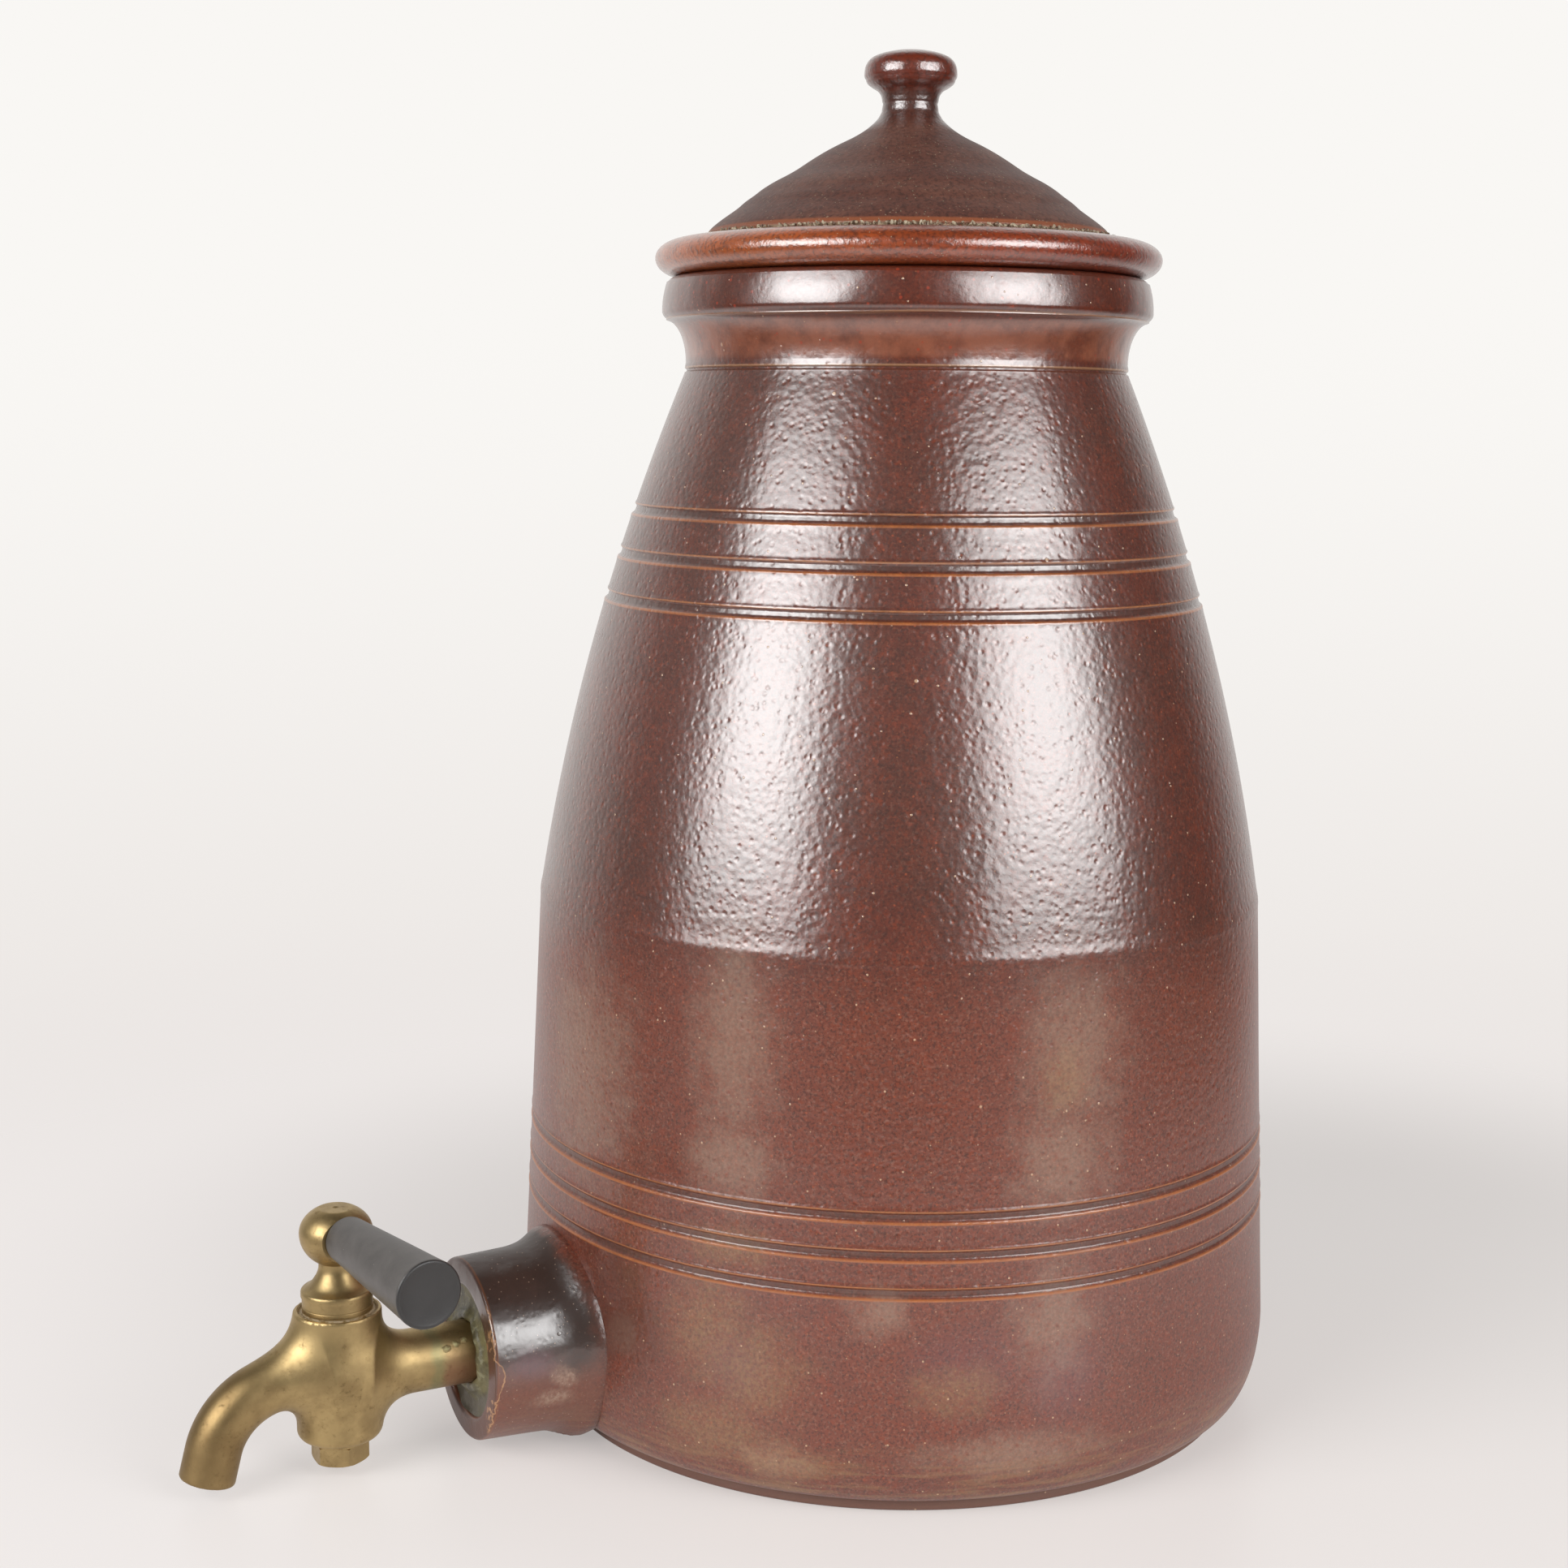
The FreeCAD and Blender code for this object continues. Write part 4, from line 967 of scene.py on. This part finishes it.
def castingDistance(s, p):
    # distance in mm from the casting's skin, for points (x, reach, height)
    x, reach, height = p[:, 0], p[:, 1], p[:, 2]
    share = np.clip((height - s["barrelLow"]) / (s["barrelHigh"] - s["barrelLow"]), 0, 1)
    radius = s["barrelLowRadius"] + (s["barrelHighRadius"] - s["barrelLowRadius"]) * share
    middle, half = (s["barrelLow"] + s["barrelHigh"]) / 2, (s["barrelHigh"] - s["barrelLow"]) / 2
    # the barrel ends in a thin rim above and draws in below
    rounding = np.where(height < middle, s["lowRound"], s["highRound"])
    barrel = cappedDistance(np.hypot(x, reach - s["plugReach"]) - radius, np.abs(height - middle) - half,
                            rounding)
    arm = cappedDistance(np.hypot(x, height - s["tapHeight"]) - s["armRadius"], s["tailEnd"] - reach,
                         s["tailRound"])
    arm = np.maximum(arm, reach - s["plugReach"])
    bendReach = s["plugReach"] + s["straight"]
    level = np.maximum(np.hypot(x, height - s["spoutHeight"]) - s["spoutRadius"],
                       np.maximum(s["plugReach"] - reach, reach - bendReach))
    fromCentre = (reach - bendReach, height - s["spoutHeight"] + s["bendRadius"])
    turn = np.arctan2(fromCentre[0], fromCentre[1])
    last = math.radians(s["bendDeg"])
    bend = np.hypot(x, np.hypot(*fromCentre) - s["bendRadius"]) - s["spoutRadius"]
    farAway = 1e3
    bend = np.where((turn >= 0) & (turn <= last), bend, farAway)
    along = (math.cos(last), -math.sin(last))
    start = (s["bendRadius"] * math.sin(last), s["bendRadius"] * math.cos(last))
    run = (fromCentre[0] - start[0]) * along[0] + (fromCentre[1] - start[1]) * along[1]
    side = -(fromCentre[0] - start[0]) * along[1] + (fromCentre[1] - start[1]) * along[0]
    end = cappedDistance(np.hypot(x, side) - s["spoutRadius"], run - s["endLength"], s["spoutRound"])
    end = np.where(run >= 0, end, farAway)
    spout = np.minimum(np.minimum(level, bend), end)
    lift = np.clip((height - s["blendZone"][0]) / (s["blendZone"][1] - s["blendZone"][0]), 0, 1)
    blend = s["blendBelow"] + (s["blendAbove"] - s["blendBelow"]) * lift * lift * (3 - 2 * lift)
    return melted(melted(barrel, spout, blend), arm, s["armBlend"])


def pullToSkin(mesh, s, rounds, probe=0.03):
    # moves each vertex down the distance's slope onto the skin; the slope is felt out over probe
    # mm either way
    count = len(mesh.vertices)
    flat = np.empty(count * 3)
    mesh.vertices.foreach_get("co", flat)
    points = flat.reshape(-1, 3) * 1000
    points = np.column_stack((points[:, 0], -points[:, 1], points[:, 2]))
    ends = np.empty(len(mesh.edges) * 2, int)
    mesh.edges.foreach_get("vertices", ends)
    ends = ends.reshape(-1, 2)
    neighbours = np.bincount(ends.ravel(), minlength=count)[:, None]
    for turn in range(rounds):
        if turn < rounds - 1:
            # evens out the mesh before it is pulled back
            total = np.zeros_like(points)
            np.add.at(total, ends[:, 0], points[ends[:, 1]])
            np.add.at(total, ends[:, 1], points[ends[:, 0]])
            points = points * 0.5 + total / neighbours * 0.5
        for _ in range(2):
            distance = castingDistance(s, points)
            slope = np.empty_like(points)
            for axis, step in enumerate(np.eye(3) * probe):
                slope[:, axis] = (castingDistance(s, points + step)
                                  - castingDistance(s, points - step)) / (2 * probe)
            size = np.maximum((slope ** 2).sum(1), 0.3)
            points -= slope * np.clip(distance, -1.5, 1.5)[:, None] / size[:, None]
    back = np.column_stack((points[:, 0], -points[:, 1], points[:, 2])) / 1000
    mesh.vertices.foreach_set("co", back.ravel())
    mesh.update()


def makeTapBody(s):
    barrel = turned("barrelCore", [(0, s["barrelLow"]), (s["barrelLowRadius"], s["barrelLow"]),
                                   (s["barrelHighRadius"], s["barrelHigh"] - 3),
                                   (s["barrelHighRadius"], s["barrelHigh"]), (0, s["barrelHigh"])],
                                   castBrass, 48)
    ontoPlugAxis(barrel)
    arm = tube("armCore", [(s["tailEnd"], s["tapHeight"]), (s["plugReach"], s["tapHeight"])], s["armRadius"])
    spout = tube("spoutCore", spoutPath(s), s["spoutRadius"])
    work = bmesh.new()
    for core in (barrel, arm, spout):
        work.from_mesh(core.data)
        bpy.data.objects.remove(core)
    source = sceneObject("castTapCore", meshFrom(work, "castTapBody"))
    remesh = source.modifiers.new("skin", "REMESH")
    remesh.mode = "VOXEL"
    remesh.voxel_size = s["voxel"] / 1000
    tap = bakedObject("castTapBody", source)
    pullToSkin(tap.data, s, 6)
    plugHole = turned("plugHole", [(0, 5), (8.05, 5), (8.05, 11.2), (9.99, 49.6), (11.5, 49.7), (11.6, 50.2),
                                   (11.9, 50.4), (11.9, 52), (0, 52)], castBrass, 96)
    ontoPlugAxis(plugHole)
    tap = combine(tap, plugHole, "DIFFERENCE")
    tap = combine(tap, tube("spoutBore", spoutPath(s, extra=1.5), s["spoutBore"]), "DIFFERENCE")
    tap = combine(tap, tube("armBore", [(s["tailEnd"] - 2, s["tapHeight"]), (s["plugReach"] - 5, s["tapHeight"])],
                            s["armBore"]), "DIFFERENCE")
    finishPiece(tap, castBrass, "pot", ["tap_body"], 40)


makeTapBody(tapSettings)
print("tap body made")

plugSettings = {**tapPlace, "headRadius": 10.75, "topHalf": 8.3, "lowHalf": 10.2, "facetRadius": 5.1,
                "columns": 128, "unevenness": 0.04, "unevenSize": 6.0, "seed": 2.0}


def ontoGripAxis(piece):
    # height becomes the distance from the plug's axis, in the grip's direction
    ontoPlugAxis(piece, tapPlace["headHeight"], tapPlace["shutDeg"], 90)


def makePlug(s):
    head = (0, s["headHeight"])
    facetDeg = math.degrees(math.acos(s["facetRadius"] / s["headRadius"]))
    facet = s["headHeight"] + s["topHalf"] * math.sin(math.radians(facetDeg))
    low = ellipsePoints(head, s["headRadius"], s["lowHalf"], -60, 0, 16)
    neck = [(9.7, 57.15), (8.4, 58.0), (7.3, 59.2), (6.2, 60.9), (5.55, 62.4), (5.3, 63.8)]
    flare = smoothPoints(neck + low[:2], 5)[:-5]
    outline = joinPoints(
        [(0, 3.55), (3.2, 3.55), (3.5, 3.9), (3.5, 11.6), (8.01, 11.6), (9.93, 49.3), (10.3, 49.6),
         (10.35, 51.9),
         (10.28, 52.0), (10.28, 52.25), (10.35, 52.35), (10.35, 54.75), (10.63, 54.85), (10.65, 55.0),
         (10.65, 56.2),
         (10.5, 56.7), (10.2, 57.0)],
        flare, low, ellipsePoints(head, s["headRadius"], s["topHalf"], 0, facetDeg, 22),
        [(s["facetRadius"] - 0.4, facet + 0.03), (1.0, facet + 0.03), (0.7, facet - 0.15),
         (0.0, facet - 0.35)])
    plug = turned("turnedPlug", outline, turnedBrass, *(s[key] for key in throwing))
    ontoPlugAxis(plug)
    flat = rod("headFlat", 9.5, 7.5, 20, turnedBrass, 64)
    ontoGripAxis(flat)
    plug = combine(plug, flat, "DIFFERENCE")
    port = tube("plugPort", [(-14, 0), (14, 0)], 4.5, 32)
    ontoPlugAxis(port, s["tapHeight"], s["shutDeg"])
    plug = combine(plug, port, "DIFFERENCE")
    finishPiece(plug, turnedBrass, "tap_key", ["tap_plug"], 30)


gripShape = {"taper": ((6.9, 9.0), (9.75, 59.3)), "columns": 112, "unevenness": 0.1, "unevenSize": 14.0,
             "seed": 4.0}


def makeGrip(s):
    outline = joinPoints(
        [(0, 7.5), (6.2, 7.5), (6.6, 7.7), (6.85, 8.2)], linePoints(*s["taper"], 12),
        [(9.8, 59.6), (9.85, 60.2)], ellipsePoints((9.05, 60.45), 0.8, 0.8, 0, 90, 6),
        [(8.7, 61.2), (8.3, 61.05), (4.5, 60.98), (0, 60.95)])
    grip = turned("taperedGrip", outline, ebonite, *(s[key] for key in throwing))
    ontoGripAxis(grip)
    finishPiece(grip, ebonite, "tap_key", ["handle_grip"], 30)


nutSettings = {"acrossFlats": 15.0, "low": 4.05, "high": 9.95, "turnDeg": 0.5, "hole": 3.52}


def makeNut(s):
    corner = s["acrossFlats"] / math.sqrt(3)
    work = bmesh.new()
    rings = []
    for z in (s["low"], s["high"]):
        rings.append([work.verts.new((corner * math.cos(math.radians(60 * k)) / 1000,
                                      corner * math.sin(math.radians(60 * k)) / 1000, z / 1000))
                                      for k in range(6)])
    for k in range(6):
        work.faces.new((rings[0][k], rings[0][(k + 1) % 6], rings[1][(k + 1) % 6], rings[1][k]))
    work.faces.new(rings[0][::-1])
    work.faces.new(rings[1])
    bmesh.ops.recalc_face_normals(work, faces=work.faces)
    nut = sceneObject("hexNut", meshFrom(work, "hexNut"))
    outline = joinPoints([(0, s["low"])], ellipsePoints((corner - 1.5, s["low"] + 1.5), 1.7, 1.5, -90, 0, 8),
                         [(corner + 0.2, s["high"] - 0.6), (corner - 0.6, s["high"]), (0, s["high"])])
    nut = combine(nut, turned("nutRound", outline, turnedBrass, 96), "INTERSECT")
    nut = combine(nut, rod("nutHole", s["hole"], 2, 12, turnedBrass, 48), "DIFFERENCE")
    ontoPlugAxis(nut, turnDeg=s["turnDeg"])
    finishPiece(nut, turnedBrass, "tap_key", ["plug_nut"], 25)


washerSettings = {"low": 9.95, "high": 11.15, "flatRadius": 8.5, "edge": 0.4, "holeCorner": 5.06,
                  "turnDeg": tapPlace["shutDeg"] + 45}


def makeWasher(s):
    # a thin round washer with a square hole
    flat, edge = s["flatRadius"], s["edge"]
    outline = joinPoints([(0, s["low"]), (flat - 0.1, s["low"])],
                         ellipsePoints((flat, s["low"] + edge), edge, edge, -90, 0, 4),
                         ellipsePoints((flat, s["high"] - edge), edge, edge, 0, 90, 4),
                         [(flat - 0.1, s["high"]), (0, s["high"])])
    washer = turned("plainWasher", outline, turnedBrass, 96)
    hole = rod("washerHole", s["holeCorner"], 9, 12, turnedBrass, 4)
    hole.data.transform(Matrix.Rotation(math.radians(s["turnDeg"]), 4, "Z"))
    washer = combine(washer, hole, "DIFFERENCE")
    ontoPlugAxis(washer)
    finishPiece(washer, turnedBrass, "tap_key", ["plug_washer"], 30)


makePlug(plugSettings)
makeGrip(gripShape)
makeNut(nutSettings)
makeWasher(washerSettings)
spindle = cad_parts["handle_spindle"].data.materials
spindle.clear()
spindle.append(steel)
print("plug, grip, nut and washer made")

puttyShape = {"inner": 9.52, "hole": 11.98, "socket": 19.98, "shoulder": 131.2, "innerEnd": 112.5,
              "face": 147.6,
              "columns": 144, "sunk": 0.5,
              # each lump's height, number round the ring and turn
              "lumps": [(0.315, 3, 0.6), (0.225, 7, 2.0), (0.135, 13, 0.0)]}


def makePutty(s):
    face = s["face"]
    outline = [(s["inner"], s["innerEnd"]), (s["hole"], s["innerEnd"]), (s["hole"], s["shoulder"]),
               (s["socket"], s["shoulder"]), (s["socket"], face + 0.3)]
    outline += smoothPoints([(s["socket"], face + 0.6), (18.6, face - 0.1), (16.4, face - 0.3),
                             (14.4, face - 0.2),
                             (12.9, face + 0.3), (12.2, face + 1.0), (11.0, face + 1.5), (10.0, face + 1.3),
                             (s["inner"], face + 0.8)], 4)
    outline.append(outline[0])
    piece = turned("beddingPutty", outline, putty, s["columns"])
    ontoTapAxis(piece)
    # smeared by a finger: lumps on the open face, and sunk away from the arm on the low side
    for vertex in piece.data.vertices:
        reach = -vertex.co.y * 1000
        if reach > face - 1.5:
            across, up = vertex.co.x * 1000, vertex.co.z * 1000 - tapPlace["tapHeight"]
            a = math.atan2(up, across)
            lump = sum(rise * math.sin(count * a + turn) for rise, count, turn in s["lumps"])
            sunk = s["sunk"] * fade(math.hypot(across, up), 12.6, 15.2) * fade(-math.sin(a - 0.25),
                                                                               -0.1, 0.55)
            vertex.co.y -= (lump * fade(reach, face - 1.5, face) - sunk) / 1000
    finishPiece(piece, putty, "pot", ["bedding_compound"], 40)


makePutty(puttyShape)
print("putty made")

stageSettings = {
    "tableColour": "#f0ebe8", "tableSeen": "#f1ecea", "nearShare": 0.42, "farShare": 0.88,
    "shadeMiddle": (0, 0.1, 0),
    "shadeZone": (0.2, 0.46), "surroundHigh": "#f9f7f4", "surroundLow": "#ebe6e3", "riseZone": (-0.32, 0.06),
    "tableRadius": 2.4, "fadeFrom": 0.28, "fadeTo": 0.8, "fillLevel": 0.22, "glossyFront": 0.02,
    "glossyBack": 0.95,
    "brightSide": 253.0, "brightZone": (0.18, 0.92), "aim": (0, 0, 0.22),
    # azimuth in degrees, distance, height, width and height of the box in m, power in W
    "boxes": [(13.0, 1.28, 0.7, 0.96, 0.94, 12.8), (13.0, 1.26, 0.66, 0.56, 0.44, 2.7),
              (109.0, 1.28, 0.7, 1.08, 0.94, 13.3), (109.0, 1.26, 0.66, 0.6, 0.44, 2.5)]}


def makeStage(s):
    # pale table that fades into a pale surround, and two soft boxes, each brighter in its middle
    work = bmesh.new()
    bmesh.ops.create_circle(work, cap_ends=True, segments=96, radius=s["tableRadius"])
    table = sceneObject("table", meshFrom(work, "table"))
    material, add, place = startMaterial("paleTableLaminate", Base_Color=s["tableColour"], Roughness=0.35)
    path = add("ShaderNodeLightPath").node.outputs
    seen = add(mostNode, [add(mostNode, [path["Is Camera Ray"], path["Is Glossy Ray"]]),
                          path["Is Transmission Ray"]])
    away = add(distanceNode, [place, s["shadeMiddle"]])
    share = add(timesNode, [seen, add(softNode, [away, *s["shadeZone"], s["nearShare"], s["farShare"]])])
    pale = add("ShaderNodeEmission", {"Color": s["tableSeen"]})
    nodes = material.node_tree.nodes
    paper = add("ShaderNodeMixShader", [share, nodes["Principled BSDF"].outputs[0], pale])
    near = add(softNode, [add(lengthNode, [place]), s["fadeTo"], s["fadeFrom"]])
    both = add("ShaderNodeMixShader", [near, add("ShaderNodeBsdfTransparent"), paper])
    material.node_tree.links.new(both, nodes["Material Output"].inputs["Surface"])
    table.data.materials.append(material)
    for i, (azimuth, distance, height, wide, tall, power) in enumerate(s["boxes"]):
        data = bpy.data.lights.new(f"softBox{i + 1}", "AREA")
        data.shape = "RECTANGLE"
        data.size, data.size_y, data.energy = wide, tall, power
        lamp = sceneObject(data.name, data)
        a = math.radians(azimuth)
        lamp.location = (math.sin(a) * distance, -math.cos(a) * distance, height)
        lamp.rotation_euler = (Vector(s["aim"]) - lamp.location).to_track_quat("-Z", "Y").to_euler()
        lamp.visible_camera = False
    world = bpy.data.worlds.new("paleSurround")
    bpy.context.scene.world = world
    world.use_nodes = True
    world.node_tree.nodes.clear()
    add = partial(addNode, world.node_tree)
    path = add("ShaderNodeLightPath").node.outputs
    seen = add(mostNode, [path["Is Camera Ray"], path["Is Transmission Ray"]])
    sight = add("ShaderNodeTexCoord", out="Generated")
    a = math.radians(s["brightSide"])
    toward = add(dotNode, [sight, (math.sin(a), -math.cos(a), 0)])
    glossy = add(softNode, [toward, *s["brightZone"], s["glossyFront"], s["glossyBack"]])
    level = add(timesPlusNode, [path["Is Glossy Ray"], add(minusNode, [glossy, s["fillLevel"]]),
                                s["fillLevel"]])
    level = add(mostNode, [level, seen])
    rise = add(softNode, [add(splitNode, [sight], 2), *s["riseZone"]])
    tint = paintOver(add, s["surroundLow"], [(rise, 1.0, s["surroundHigh"])])
    back = add("ShaderNodeBackground", {"Color": tint, "Strength": level})
    add("ShaderNodeOutputWorld", {"Surface": back})
    bpy.context.scene.view_settings.view_transform = "Standard"


makeStage(stageSettings)
print("stage made")
